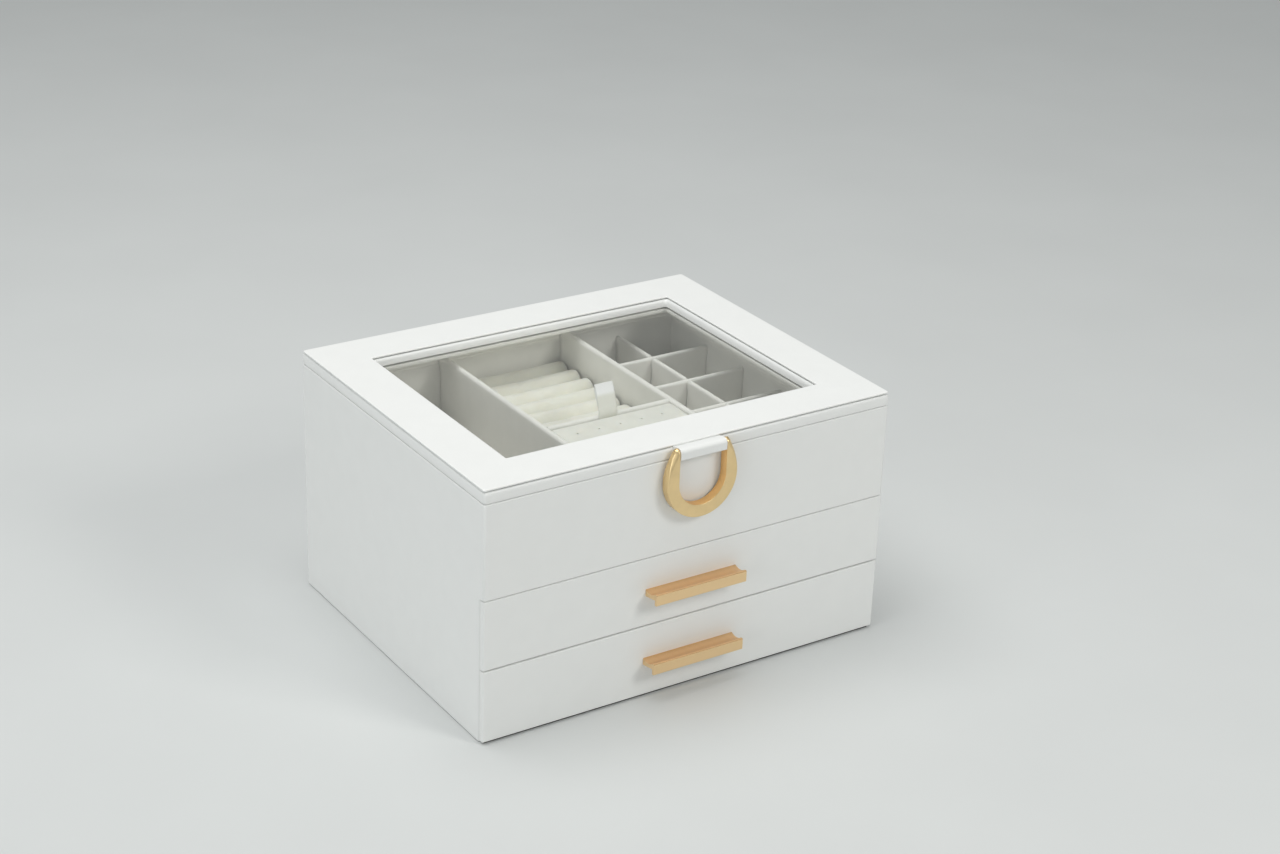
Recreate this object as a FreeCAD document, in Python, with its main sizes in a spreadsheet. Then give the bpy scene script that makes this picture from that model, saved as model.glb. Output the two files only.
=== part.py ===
import FreeCAD, Part
import math
import os
import Sketcher

# Jewellery box with a glass lid, ring rolls and two drawers. Millimetres.
# X runs left to right as seen from the front, Y from front to back, Z up.
# The origin is under the middle of the base, on the surface the box stands on.

doc = FreeCAD.newDocument("JewelleryBox")
sheet = doc.addObject("Spreadsheet::Sheet", "Sizes")
pieces = []


# ---------------------------------------------------------------- sizes

class Size:
    """A length or angle: its number, and the sheet expression that gives it."""

    def __init__(self, text, value):
        self.text = text
        self.value = value

    def __add__(self, other):
        other = as_size(other)
        return Size(f"({self.text} + {other.text})", self.value + other.value)

    def __sub__(self, other):
        other = as_size(other)
        return Size(f"({self.text} - {other.text})", self.value - other.value)

    def __mul__(self, other):
        other = as_size(other)
        return Size(f"({self.text} * {other.text})", self.value * other.value)

    def __truediv__(self, other):
        other = as_size(other)
        return Size(f"({self.text} / {other.text})", self.value / other.value)

    def __neg__(self):
        return Size(f"(0 - {self.text})", -self.value)

    def __rsub__(self, other):
        return as_size(other) - self

    __radd__ = __add__
    __rmul__ = __mul__


def as_size(number):
    """Let a plain count or zero stand beside sizes in a sum."""
    return number if isinstance(number, Size) else Size(repr(number), number)


def sine(angle):
    return Size(f"sin({angle.text})", math.sin(math.radians(angle.value)))


def cosine(angle):
    return Size(f"cos({angle.text})", math.cos(math.radians(angle.value)))


def root(square):
    return Size(f"sqrt({square.text})", math.sqrt(square.value))


# Driving sizes, each a row of the sheet under its own alias
driving_sizes = {
    # Outside of the box
    "box_width": 260,
    "box_depth": 210,
    "box_height": 150,
    "lid_height": 8.3,              # box top down to where the lid meets the case
    "lid_gap": 0.2,
    "corner_radius": 1.5,
    "edge_bevel": 0.5,

    # Boards and skins of the case
    "felt_thickness": 0.5,
    "felt_inset": 3.0,
    "wrap_thickness": 0.8,
    "side_board": 9.0,
    "back_board": 6.0,
    "face_board": 6.0,              # upper front panel
    "base_board": 3.0,
    "shelf_board": 3.0,
    "floor_board": 3.0,             # floor of the top tray
    "lining_card": 1.7,

    # Drawer fronts, from the floor up
    "floor_clearance": 1.5,
    "lower_front_height": 42.65,
    "upper_front_height": 41.0,
    "front_reveal": 0.7,
    "front_thickness": 3.6,
    "front_gap": 0.4,

    # Drawer boxes
    "drawer_side_clearance": 0.6,
    "drawer_floor_clearance": 0.25,
    "drawer_back_clearance": 3.2,
    "drawer_wall": 5.0,
    "drawer_bottom_board": 2.5,
    "drawer_headroom": 4.0,         # from the walls up to the bay's ceiling
    "drawer_lining": 1.2,
    "drawer_divider_card": 2.5,
    "drawer_divider_drop": 4.0,

    # Finger pulls
    "pull_length": 59,
    "pull_projection": 10.8,
    "pull_root_height": 4.1,
    "pull_lip_height": 6.6,
    "pull_lip_thickness": 1.6,
    "pull_lip_rise": 1.0,
    "pull_web_drop": 2.5,           # the root's top down to the web's underside
    "pull_groove_radius": 8.0,
    "pull_edge_radius": 0.35,

    # Top tray
    "tray_card": 2.5,
    "left_well_width": 73.1,
    "ring_well_width": 80.0,
    "divider_drop": 8.3,            # each of these drops is from the glass down
    "pad_well_depth": 73.0,
    "ring_divider_drop": 9.4,
    "grid_card": 2.2,
    "grid_drop": 20.9,
    "lap_clearance": 0.1,
    "card_edge_radius": 0.6,

    # Ring rolls
    "roll_gap": 0.3,
    "roll_height": 24.55,
    "roll_end_gap": 0.6,
    "soft_clearance": 0.25,

    # Earring pad and its ribbon
    "pad_thickness": 10.0,
    "pad_side_gap": 0.4,
    "pad_rear_gap": 1.1,
    "pad_drop": 9.0,
    "pad_edge_radius": 0.8,
    "ledge_card": 2.5,
    "ribbon_width": 12.1,
    "ribbon_thickness": 0.35,
    "ribbon_fold_gap": 0.06,
    "ribbon_offset": -1.65,         # from the pad's middle to the ribbon's
    "ribbon_drift": 0.49,           # sideways for each length backwards
    "ribbon_tail": 8.0,             # length glued down the pad's rear face
    "ribbon_bend": 5.0,
    "ribbon_loop": 1.5,             # outer radius of the folded end
    "ribbon_run": 21.0,
    "ribbon_angle": 79.5,           # upper layer, from upright
    "ribbon_closing": 6,            # the lower layer leans this much more
    "ribbon_glass_gap": 1.2,

    # Lid
    "cover_board": 1.2,
    "frame_side": 29.5,             # width of the cover left and right
    "frame_end": 29,                # width of the cover front and back
    "cover_edge_bevel": 0.5,
    "rim_inset": 0.3,
    "rim_top_radius": 2.5,
    "rim_bottom_bevel": 0.8,
    "rim_corner_radius": 2.6,
    "bead_overhang": 1.2,           # the bead stands this far into the window
    "glass_thickness": 2.0,
    "glass_lap": 5.0,
    "glass_clearance": 0.2,
    "plinth_height": 3.0,
    "plinth_clearance": 0.8,
    "plinth_reveal": 0.6,

    # Handle and its tab
    "ring_clearance": 1.0,          # from the ring back to the box's front
    "bar_drop": 3.5,                # box top down to the bar's axis
    "bar_radius": 1.5,
    "ring_inner_radius": 15.1,
    "ring_outer_radius": 22.2,
    "ring_shoulder_radius": 40.0,
    "ring_drop": 17.0,              # bar axis down to the ring's centre
    "ring_depth": 6.0,
    "ring_edge_radius": 0.6,
    "tab_side_gap": 0.3,
    "tab_thickness": 1.4,
    "tab_bar_gap": 0.3,
    "tab_tail": 10.0,
    "tab_slot_clearance": 0.1,
    "tab_rise_angle": 15,
    "tab_fall_angle": 30,

    # Hinges
    "hinge_inset": 50,              # box side in to each hinge's middle
    "hinge_width": 24,
    "leaf_reach": 6.0,              # how far a leaf runs in over its board
    "leaf_clearance": 0.1,
    "knuckle_clearance": 0.3,       # from the knuckles to the box's back
    "pin_radius": 0.9,
    "pin_fit": 0.05,
    "knuckle_radius": 2.2,
    "knuckle_length": 7.7,          # middle knuckle, on the lid's leaf
    "knuckle_gap": 0.3,
    "lid_opening": 100,             # degrees, where the stop tail lands
    "stop_gap": 0.1,
    "stop_length": 4.2,
    "stop_thickness": 1.2,
}
for row, (alias, number) in enumerate(driving_sizes.items(), start=1):
    sheet.set(f"A{row}", alias)
    sheet.set(f"B{row}", str(number))
    sheet.setAlias(f"B{row}", alias)

# From here on, each alias is also a name in this file, and stands for its cell
globals().update({alias: Size(f"Sizes.{alias}", number)
                  for alias, number in driving_sizes.items()})

# Counts
grid_rows = 5
roll_count = 8

# Faces that several pieces share
half_width = box_width / 2
half_depth = box_depth / 2
seam_height = box_height - lid_height
core_half = half_width - wrap_thickness
bay_half = core_half - side_board
core_front = wrap_thickness - half_depth
core_back = half_depth - wrap_thickness
tray_front = core_front + face_board
tray_back = core_back - back_board
rim_top = seam_height - wrap_thickness
lower_front_top = floor_clearance + lower_front_height
upper_front_low = lower_front_top + front_reveal
upper_front_top = upper_front_low + upper_front_height
face_low = upper_front_top + front_reveal
carcass_front = front_thickness + front_gap - half_depth
board_front = carcass_front + wrap_thickness
base_top = felt_thickness + base_board
shelf_low = lower_front_top + front_reveal / 2 - shelf_board / 2
shelf_top = shelf_low + shelf_board
tray_floor_top = face_low + floor_board
lining_top = tray_floor_top + lining_card
well_half = bay_half - lining_card
well_front = tray_front + lining_card
well_back = tray_back - lining_card
lid_low = seam_height + lid_gap
cover_low = box_height - cover_board
glass_low = lid_low
hinge_offset = half_width - hinge_inset
leaf_thickness = wrap_thickness      # each leaf is let in flush with the wrap
pin_offset = knuckle_radius + knuckle_clearance
pin_y = half_depth + pin_offset
pin_z = seam_height + lid_gap / 2
bar_standoff = ring_depth / 2 + ring_clearance
zero = as_size(0)


# ---------------------------------------------------------------- drawing

def place(piece, x=zero, y=zero, z=zero):
    """Bind a piece's place to the sheet, and keep it for export."""
    piece.setExpression("Placement.Base.x", x.text)
    piece.setExpression("Placement.Base.y", y.text)
    piece.setExpression("Placement.Base.z", z.text)
    pieces.append(piece)
    return piece


def board(label, low, size):
    """A plain board, given by its low corner and its three sizes."""
    box = doc.addObject("Part::Box", label)
    box.Label = label
    for side, length in zip(("Length", "Width", "Height"), size):
        box.setExpression(side, length.text)
    return place(box, *low)


def new_body(label):
    body = doc.addObject("PartDesign::Body", label)
    body.Label = label
    body.AllowCompound = True
    return body


def sketch_on(body, plane, offset=None):
    """A sketch on one of the body's own planes, moved along its normal."""
    sketch = body.newObject("Sketcher::SketchObject", body.Label + "_sketch")
    support = [part for part in body.Origin.OriginFeatures if part.Role == plane]
    sketch.AttachmentSupport = [(support[0], "")]
    sketch.MapMode = "FlatFace"
    if offset is not None:
        sketch.setExpression("AttachmentOffset.Base.z", offset.text)
    return sketch


def bind(sketch, kind, *where, size):
    number = sketch.addConstraint(Sketcher.Constraint(kind, *where, size.value))
    sketch.setExpression(f"Constraints[{number}]", size.text)


def arc_between(start, end, radius, side):
    """The short arc between two points, centred left (+1) or right (-1) of the way."""
    chord = end - start
    away = math.sqrt(max(radius ** 2 - (chord.Length / 2) ** 2, 0))
    left = FreeCAD.Vector(-chord.y, chord.x, 0).normalize()
    middle_way = start + chord * 0.5 + left * (side * (away - radius))
    if side > 0:
        return Part.Arc(start, middle_way, end)
    return Part.Arc(end, middle_way, start)


def outline(sketch, corners, arcs=None):
    """Close an outline through corners; arcs gives an edge's (radius, side)."""
    arcs = arcs or {}
    corners = [(as_size(across), as_size(up)) for across, up in corners]
    points = [FreeCAD.Vector(across.value, up.value, 0) for across, up in corners]
    count = len(corners)
    edges = []
    starts = []
    ends = []
    for i in range(count):
        start, end = points[i], points[(i + 1) % count]
        if i in arcs:
            radius, side = arcs[i]
            edge = sketch.addGeometry(arc_between(start, end, radius.value, side))
            starts.append(1 if side > 0 else 2)
            ends.append(2 if side > 0 else 1)
        else:
            edge = sketch.addGeometry(Part.LineSegment(start, end))
            starts.append(1)
            ends.append(2)
        edges.append(edge)
    for i in range(count):
        after = (i + 1) % count
        sketch.addConstraint(
            Sketcher.Constraint("Coincident", edges[i], ends[i], edges[after], starts[after]))
    for i in range(count):
        bind(sketch, "DistanceX", -1, 1, edges[i], starts[i], size=corners[i][0])
        bind(sketch, "DistanceY", -1, 1, edges[i], starts[i], size=corners[i][1])
        if i in arcs:
            bind(sketch, "Radius", edges[i], size=arcs[i][0])


def rectangle(sketch, low_x, high_x, low_y, high_y):
    outline(sketch, [(low_x, low_y), (high_x, low_y), (high_x, high_y), (low_x, high_y)])


def circle(sketch, across, up, radius):
    across, up = as_size(across), as_size(up)
    centre = FreeCAD.Vector(across.value, up.value, 0)
    ring = sketch.addGeometry(Part.Circle(centre, FreeCAD.Vector(0, 0, 1), radius.value))
    bind(sketch, "Radius", ring, size=radius)
    bind(sketch, "DistanceX", -1, 1, ring, 3, size=across)
    bind(sketch, "DistanceY", -1, 1, ring, 3, size=up)


def pad(body, sketch, length, both_ways=False, turned=False):
    """Grow the body from a sketch, along its normal or to both sides."""
    feature = body.newObject("PartDesign::Pad", body.Label + "_pad")
    feature.Profile = sketch
    feature.SideType = "Symmetric" if both_ways else "One side"
    feature.Reversed = turned
    feature.setExpression("Length", length.text)
    doc.recompute()
    return feature


def cut(body, sketch, length, both_ways=False, turned=False):
    """Cut the sketch from the body, and make sure that it took something away."""
    before = body.Shape.Volume
    feature = body.newObject("PartDesign::Pocket", body.Label + "_pocket")
    feature.Profile = sketch
    feature.SideType = "Symmetric" if both_ways else "One side"
    feature.Reversed = turned
    feature.setExpression("Length", length.text)
    doc.recompute()
    if body.Shape.Volume > before - 1e-6:
        raise RuntimeError(f"{body.Label}: a pocket cut nothing")
    return feature


def along(edge, axis):
    """True for a straight edge that runs along one axis."""
    if not isinstance(edge.Curve, Part.Line):
        return False
    return abs(abs(getattr(edge.Curve.Direction, axis)) - 1) < 1e-6


def at(edge, axis, size):
    """True for an edge whose every vertex stands at one place on an axis."""
    place_on_axis = as_size(size).value
    return all(abs(getattr(v.Point, axis) - place_on_axis) < 1e-4 for v in edge.Vertexes)


def dress(kind, body, wanted, size):
    """Round or bevel the edges of the body's last feature that wanted picks."""
    last = body.Tip
    names = [f"Edge{i}" for i, edge in enumerate(last.Shape.Edges, 1) if wanted(edge)]
    if not names:
        raise RuntimeError(f"{body.Label}: no edge to dress")
    feature = body.newObject(f"PartDesign::{kind}", body.Label + "_" + kind.lower())
    feature.Base = (last, names)
    feature.setExpression("Radius" if kind == "Fillet" else "Size", size.text)
    doc.recompute()


def fillet(body, wanted, radius):
    dress("Fillet", body, wanted, radius)


def chamfer(body, wanted, size):
    dress("Chamfer", body, wanted, size)


# ---------------------------------------------------------------- case boards

def side_panel(label, x):
    """A side board: full depth beside the tray, set back behind the drawer fronts."""
    body = new_body(label)
    top = rim_top - felt_thickness
    notch = face_low + wrap_thickness - felt_thickness
    profile = sketch_on(body, "YZ_Plane")
    outline(profile, [(board_front, zero), (core_back, zero), (core_back, top),
                      (core_front, top), (core_front, notch), (board_front, notch)])
    pad(body, profile, side_board)
    place(body, x=x, z=felt_thickness)


def case_wrap():
    """The leatherette glued round the boards and folded over the rim."""
    body = new_body("case_wrap")
    top = seam_height - felt_thickness
    notch = face_low - felt_thickness
    profile = sketch_on(body, "YZ_Plane")
    outline(profile, [(carcass_front, zero), (half_depth, zero), (half_depth, top),
                      (-half_depth, top), (-half_depth, notch), (carcass_front, notch)])
    pad(body, profile, box_width, both_ways=True)
    fillet(body, lambda edge: along(edge, "z"), corner_radius)
    chamfer(body, lambda edge: at(edge, "z", top), edge_bevel)

    cavity = sketch_on(body, "YZ_Plane")
    under = -felt_thickness
    inner_top = top - wrap_thickness
    inner_notch = notch + wrap_thickness
    outline(cavity, [(board_front, under), (core_back, under), (core_back, inner_top),
                     (core_front, inner_top), (core_front, inner_notch),
                     (board_front, inner_notch)])
    cut(body, cavity, core_half * 2, both_ways=True)

    bays = sketch_on(body, "XZ_Plane")
    rectangle(bays, -bay_half, bay_half, under, notch)
    cut(body, bays, half_depth, turned=True)

    mouth = sketch_on(body, "XY_Plane", inner_top - wrap_thickness)
    rectangle(mouth, -bay_half, bay_half, tray_front, tray_back)
    cut(body, mouth, wrap_thickness * 3, turned=True)

    notches = sketch_on(body, "XY_Plane", inner_top)
    half_notch = hinge_width / 2 + leaf_clearance
    for hinge in (-hinge_offset, hinge_offset):
        rectangle(notches, hinge - half_notch, hinge + half_notch,
                  half_depth - leaf_reach - leaf_clearance, half_depth + pin_offset)
    cut(body, notches, wrap_thickness * 2, turned=True)
    place(body, z=felt_thickness)


board("felt_base",
      (felt_inset - half_width, carcass_front + felt_inset, zero),
      (box_width - felt_inset * 2, half_depth - carcass_front - felt_inset * 2, felt_thickness))
board("base_panel",
      (-bay_half, board_front, felt_thickness),
      (bay_half * 2, tray_back - board_front, base_board))
side_panel("left_side_panel", -bay_half - side_board)
side_panel("right_side_panel", bay_half)
board("back_panel",
      (-bay_half, tray_back, felt_thickness),
      (bay_half * 2, back_board, rim_top - felt_thickness))
board("upper_front_panel",
      (-bay_half, core_front, face_low + wrap_thickness),
      (bay_half * 2, face_board, rim_top - face_low - wrap_thickness))
board("tray_floor",
      (-bay_half, tray_front, face_low),
      (bay_half * 2, tray_back - tray_front, floor_board))
board("drawer_shelf",
      (-bay_half, board_front, shelf_low),
      (bay_half * 2, tray_back - board_front, shelf_board))
case_wrap()


# ---------------------------------------------------------------- top tray

def lined_tray(label, half_x, low_y, high_y, height, card, z):
    """An open tray of suede-covered card: a floor and four walls."""
    body = new_body(label)
    outside = sketch_on(body, "XY_Plane")
    rectangle(outside, -half_x, half_x, low_y, high_y)
    pad(body, outside, height)
    inside = sketch_on(body, "XY_Plane", card)
    rectangle(inside, card - half_x, half_x - card, low_y + card, high_y - card)
    cut(body, inside, height, turned=True)
    place(body, z=z)


def card_divider(label, width, depth, height, x, y, z):
    """A covered card on edge, centred on x and y, with its top edges softened."""
    body = new_body(label)
    profile = sketch_on(body, "XY_Plane")
    rectangle(profile, -width / 2, width / 2, -depth / 2, depth / 2)
    pad(body, profile, height)
    thin_axis = "y" if width.value < depth.value else "x"
    fillet(body, lambda edge: at(edge, "z", height) and along(edge, thin_axis),
           card_edge_radius)
    place(body, x=x, y=y, z=z)


well_depth = well_back - well_front
divider_height = glass_low - divider_drop - lining_top
ring_divider_height = glass_low - ring_divider_drop - lining_top
grid_height = glass_low - grid_drop - lining_top
left_divider_x = left_well_width - well_half + tray_card / 2
ring_well_left = left_well_width - well_half + tray_card
ring_well_right = ring_well_left + ring_well_width
main_divider_x = ring_well_right + tray_card / 2
ring_divider_front = well_front + pad_well_depth
ring_divider_y = ring_divider_front + tray_card / 2
roll_well_front = ring_divider_front + tray_card
grid_left = ring_well_right + tray_card
grid_middle = (grid_left + well_half) / 2
grid_pitch = well_depth / grid_rows

lined_tray("tray_lining", bay_half, tray_front, tray_back,
           seam_height - tray_floor_top, lining_card, tray_floor_top)
card_divider("left_divider", tray_card, well_depth, divider_height,
             left_divider_x, zero, lining_top)
card_divider("main_divider", tray_card, well_depth, divider_height,
             main_divider_x, zero, lining_top)
card_divider("ring_divider", ring_well_width, tray_card, ring_divider_height,
             (ring_well_left + ring_well_right) / 2, ring_divider_y, lining_top)


def grid_long_divider():
    """The grid's long card, slotted from the top at each cross card."""
    body = new_body("grid_long_divider")
    slot_half = grid_card / 2 + lap_clearance / 2
    slot_floor = grid_height / 2 - lap_clearance / 2
    top_line = []
    for row in range(1, grid_rows):
        y = well_front + grid_pitch * row
        top_line += [(y - slot_half, grid_height), (y - slot_half, slot_floor),
                     (y + slot_half, slot_floor), (y + slot_half, grid_height)]
    top_line.reverse()
    profile = sketch_on(body, "YZ_Plane")
    outline(profile, [(well_front, zero), (well_back, zero), (well_back, grid_height)]
            + top_line + [(well_front, grid_height)])
    pad(body, profile, grid_card, both_ways=True)
    place(body, x=grid_middle, z=lining_top)


def grid_cross_divider(row):
    """A cross card of the grid, slotted from below over the long card."""
    body = new_body(f"grid_cross_divider_{row}")
    half = (well_half - grid_left) / 2
    slot_half = grid_card / 2 + lap_clearance / 2
    slot_top = grid_height / 2 + lap_clearance / 2
    profile = sketch_on(body, "XZ_Plane")
    outline(profile, [(-half, zero), (-slot_half, zero), (-slot_half, slot_top),
                      (slot_half, slot_top), (slot_half, zero), (half, zero),
                      (half, grid_height), (-half, grid_height)])
    pad(body, profile, grid_card, both_ways=True)
    place(body, x=grid_middle, y=well_front + grid_pitch * row, z=lining_top)


grid_long_divider()
for row in range(1, grid_rows):
    grid_cross_divider(row)


def ring_roll(number):
    """A foam strip in velvet, round on top; rings stand in the gap beside it."""
    body = new_body(f"ring_roll_{number}")
    pitch = (well_back - roll_well_front) / roll_count
    half = (pitch - roll_gap) / 2
    shoulder = roll_height - half
    length = ring_well_width - roll_end_gap * 2
    profile = sketch_on(body, "YZ_Plane")
    outline(profile, [(-half, zero), (half, zero), (half, shoulder),
                      (zero, roll_height), (-half, shoulder)],
            arcs={2: (half, 1), 3: (half, 1)})
    pad(body, profile, length, both_ways=True)
    place(body, x=(ring_well_left + ring_well_right) / 2,
          y=well_back - pitch * (number - 0.5), z=lining_top + soft_clearance)


for number in range(1, roll_count + 1):
    ring_roll(number)

pad_low = glass_low - pad_drop - pad_thickness
pad_front = well_front + pad_side_gap
pad_back = ring_divider_front - pad_rear_gap
pad_centre_x = (ring_well_left + ring_well_right) / 2


def earring_pad():
    """The stiffened velvet pad for stud earrings, dropped on its ledges."""
    body = new_body("earring_pad")
    half = ring_well_width / 2 - pad_side_gap
    profile = sketch_on(body, "XY_Plane")
    rectangle(profile, -half, half, zero, pad_back - pad_front)
    pad(body, profile, pad_thickness)
    fillet(body, lambda edge: at(edge, "z", pad_thickness), pad_edge_radius)
    place(body, x=pad_centre_x, y=pad_front, z=pad_low)


def pad_ledges():
    """Two covered cards on edge, one along each end of the pad's well."""
    body = new_body("pad_ledges")
    half = ring_well_width / 2
    profile = sketch_on(body, "XY_Plane")
    for low in (well_front, ring_divider_front - ledge_card):
        rectangle(profile, -half, half, low, low + ledge_card)
    pad(body, profile, pad_low - soft_clearance - lining_top)
    place(body, x=pad_centre_x, z=lining_top)


def ribbon_pull():
    """A satin ribbon, glued double behind the pad, its folded end laid back over the rolls.

    The section is drawn from the top of its legs. The rear layer's bend follows from
    its lean, so that both layers leave the pad at one height.
    """
    body = new_body("ribbon_pull")
    lean = ribbon_angle
    under = ribbon_angle + ribbon_closing
    outer_leg = ribbon_thickness + ribbon_fold_gap / 2
    tip_y = (ribbon_bend - cosine(lean) * (ribbon_bend + outer_leg)
             + sine(lean) * ribbon_run + cosine(lean) * ribbon_loop)
    tip_z = (sine(lean) * (ribbon_bend + outer_leg)
             + cosine(lean) * ribbon_run - sine(lean) * ribbon_loop)
    rear_bend = ((sine(under) * tip_z - ribbon_loop - cosine(under) * (tip_y - outer_leg))
                 / (1 - cosine(under)))
    rear_y = outer_leg + rear_bend

    def face(inward):
        """One face of the strip, from the front leg's foot round to the rear one's."""
        leg = outer_leg - inward
        bend = ribbon_bend + leg
        loop = ribbon_loop - inward
        rear = rear_bend + inward
        return [(-leg, -ribbon_tail), (-leg, zero),
                (ribbon_bend - cosine(lean) * bend, sine(lean) * bend),
                (tip_y - cosine(lean) * loop, tip_z + sine(lean) * loop),
                (tip_y + sine(under) * loop, tip_z + cosine(under) * loop),
                (tip_y + cosine(under) * loop, tip_z - sine(under) * loop),
                (rear_y - cosine(under) * rear, sine(under) * rear),
                (leg, zero), (leg, -ribbon_tail)]

    outer = face(as_size(0))
    inner = face(ribbon_thickness)
    inner.reverse()
    bend = ribbon_bend + outer_leg
    thin = ribbon_thickness
    profile = sketch_on(body, "YZ_Plane")
    outline(profile, outer + inner, arcs={
        1: (bend, -1), 3: (ribbon_loop, -1), 4: (ribbon_loop, -1), 6: (rear_bend, 1),
        10: (rear_bend + thin, -1), 12: (ribbon_loop - thin, 1),
        13: (ribbon_loop - thin, 1), 15: (bend - thin, 1)})
    pad(body, profile, ribbon_width * 5, both_ways=True)

    back = tip_y + ribbon_loop * 2
    shift = back * ribbon_drift
    front = -back
    far = ribbon_width * 4
    left = pad_centre_x + ribbon_offset - ribbon_width / 2
    right = left + ribbon_width
    trim = sketch_on(body, "XY_Plane")
    outline(trim, [(left - shift, front), (left + shift, back), (left - far, back),
                   (left - far, front)])
    outline(trim, [(right - shift, front), (right + far, front), (right + far, back),
                   (right + shift, back)])
    cut(body, trim, box_height, both_ways=True)
    crown = glass_low - ribbon_glass_gap
    place(body, y=ring_divider_front - pad_rear_gap / 2, z=crown - tip_z - ribbon_loop)


earring_pad()
pad_ledges()
ribbon_pull()


# ---------------------------------------------------------------- hinges


def hinge_leaf(label, hinge_x, is_lid):
    """One leaf of a butt hinge, drawn round its pin; the lid's has a stop tail."""
    body = new_body(label)
    half = hinge_width / 2
    plate_near = lid_gap / 2
    offset = plate_near if is_lid else -plate_near - leaf_thickness
    plate = sketch_on(body, "XY_Plane", offset)
    rectangle(plate, -half, half, -pin_offset - leaf_reach, zero)
    pad(body, plate, leaf_thickness)
    barrel = sketch_on(body, "YZ_Plane")
    circle(barrel, 0, 0, knuckle_radius)
    pad(body, barrel, hinge_width, both_ways=True)

    reach = knuckle_radius * 1.5
    gap_back = -knuckle_radius - knuckle_gap
    gaps = sketch_on(body, "XY_Plane")
    if is_lid:
        inner = knuckle_length / 2
        rectangle(gaps, -half - reach, -inner, gap_back, reach)
        rectangle(gaps, inner, half + reach, gap_back, reach)
    else:
        inner = knuckle_length / 2 + knuckle_gap
        rectangle(gaps, -inner, inner, gap_back, reach)
    cut(body, gaps, reach * 2, both_ways=True)

    if is_lid:
        tail = sketch_on(body, "YZ_Plane")
        far = pin_offset - stop_gap
        near = far - stop_thickness

        def corner(run, out):
            return (sine(lid_opening) * run - cosine(lid_opening) * out,
                    -cosine(lid_opening) * run - sine(lid_opening) * out)

        outline(tail, [corner(zero, near), corner(zero, far),
                       corner(stop_length, far), corner(stop_length, near)])
        pad(body, tail, knuckle_length, both_ways=True)

    bore = sketch_on(body, "YZ_Plane")
    circle(bore, 0, 0, pin_radius + pin_fit if is_lid else pin_radius)
    cut(body, bore, hinge_width * 2, both_ways=True)

    place(body, x=hinge_x, y=pin_y, z=pin_z)


def hinge_pin(label, hinge_x):
    pin = doc.addObject("Part::Cylinder", label)
    pin.Label = label
    pin.setExpression("Radius", pin_radius.text)
    pin.setExpression("Height", hinge_width.text)
    pin.Placement.Rotation = FreeCAD.Rotation(FreeCAD.Vector(0, 1, 0), 90)
    place(pin, x=hinge_x - hinge_width / 2, y=pin_y, z=pin_z)


for side, hinge_x in (("left", -hinge_offset), ("right", hinge_offset)):
    hinge_leaf(f"case_hinge_leaf_{side}", hinge_x, is_lid=False)
    hinge_leaf(f"lid_hinge_leaf_{side}", hinge_x, is_lid=True)
    hinge_pin(f"hinge_pin_{side}", hinge_x)


# ---------------------------------------------------------------- lid

window_half_x = half_width - frame_side
window_half_y = half_depth - frame_end


def lid_cover_frame():
    """The thin wrapped board that frames the window from above."""
    body = new_body("lid_cover_frame")
    profile = sketch_on(body, "XY_Plane")
    rectangle(profile, -half_width, half_width, -half_depth, half_depth)
    rectangle(profile, -window_half_x, window_half_x, -window_half_y, window_half_y)
    pad(body, profile, cover_board)
    fillet(body, lambda edge: along(edge, "z")
           and at(edge, "x", half_width) | at(edge, "x", -half_width), corner_radius)
    chamfer(body, lambda edge: at(edge, "z", cover_board), cover_edge_bevel)
    place(body, z=cover_low)


bead_half_x = window_half_x - bead_overhang
bead_half_y = window_half_y - bead_overhang
rim_height = cover_low - lid_low
tab_width = (ring_inner_radius - tab_side_gap) * 2


def lid_rim_frame():
    """The padded rim: round to the groove outside, a round bead round the glass."""
    body = new_body("lid_rim_frame")
    outer_x = half_width - rim_inset
    outer_y = half_depth - rim_inset
    profile = sketch_on(body, "XY_Plane")
    rectangle(profile, -outer_x, outer_x, -outer_y, outer_y)
    rectangle(profile, -bead_half_x, bead_half_x, -bead_half_y, bead_half_y)
    pad(body, profile, rim_height)
    fillet(body, lambda edge: along(edge, "z") and not at(edge, "x", outer_x)
           and not at(edge, "x", -outer_x), rim_corner_radius)
    fillet(body, lambda edge: at(edge, "z", rim_height), rim_top_radius)
    chamfer(body, lambda edge: at(edge, "z", 0)
            and max(abs(v.Point.y) for v in edge.Vertexes) > bead_half_y.value + 1,
            rim_bottom_bevel)

    rebate = sketch_on(body, "XY_Plane")
    rectangle(rebate, -bead_half_x - glass_lap, bead_half_x + glass_lap,
              -bead_half_y - glass_lap, bead_half_y + glass_lap)
    cut(body, rebate, glass_thickness + glass_clearance, turned=True)

    slot = sketch_on(body, "XY_Plane", rim_height)
    slot_half = tab_width / 2 + tab_slot_clearance
    rectangle(slot, -slot_half, slot_half, -half_depth - bar_standoff,
              tab_tail + tab_slot_clearance - half_depth)
    cut(body, slot, tab_thickness * 2 + tab_slot_clearance)

    mortises = sketch_on(body, "XY_Plane")
    half_notch = hinge_width / 2 + leaf_clearance
    for hinge in (-hinge_offset, hinge_offset):
        rectangle(mortises, hinge - half_notch, hinge + half_notch,
                  half_depth - leaf_reach - leaf_clearance, half_depth + pin_offset)
    cut(body, mortises, leaf_thickness, turned=True)

    place(body, z=lid_low)


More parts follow.
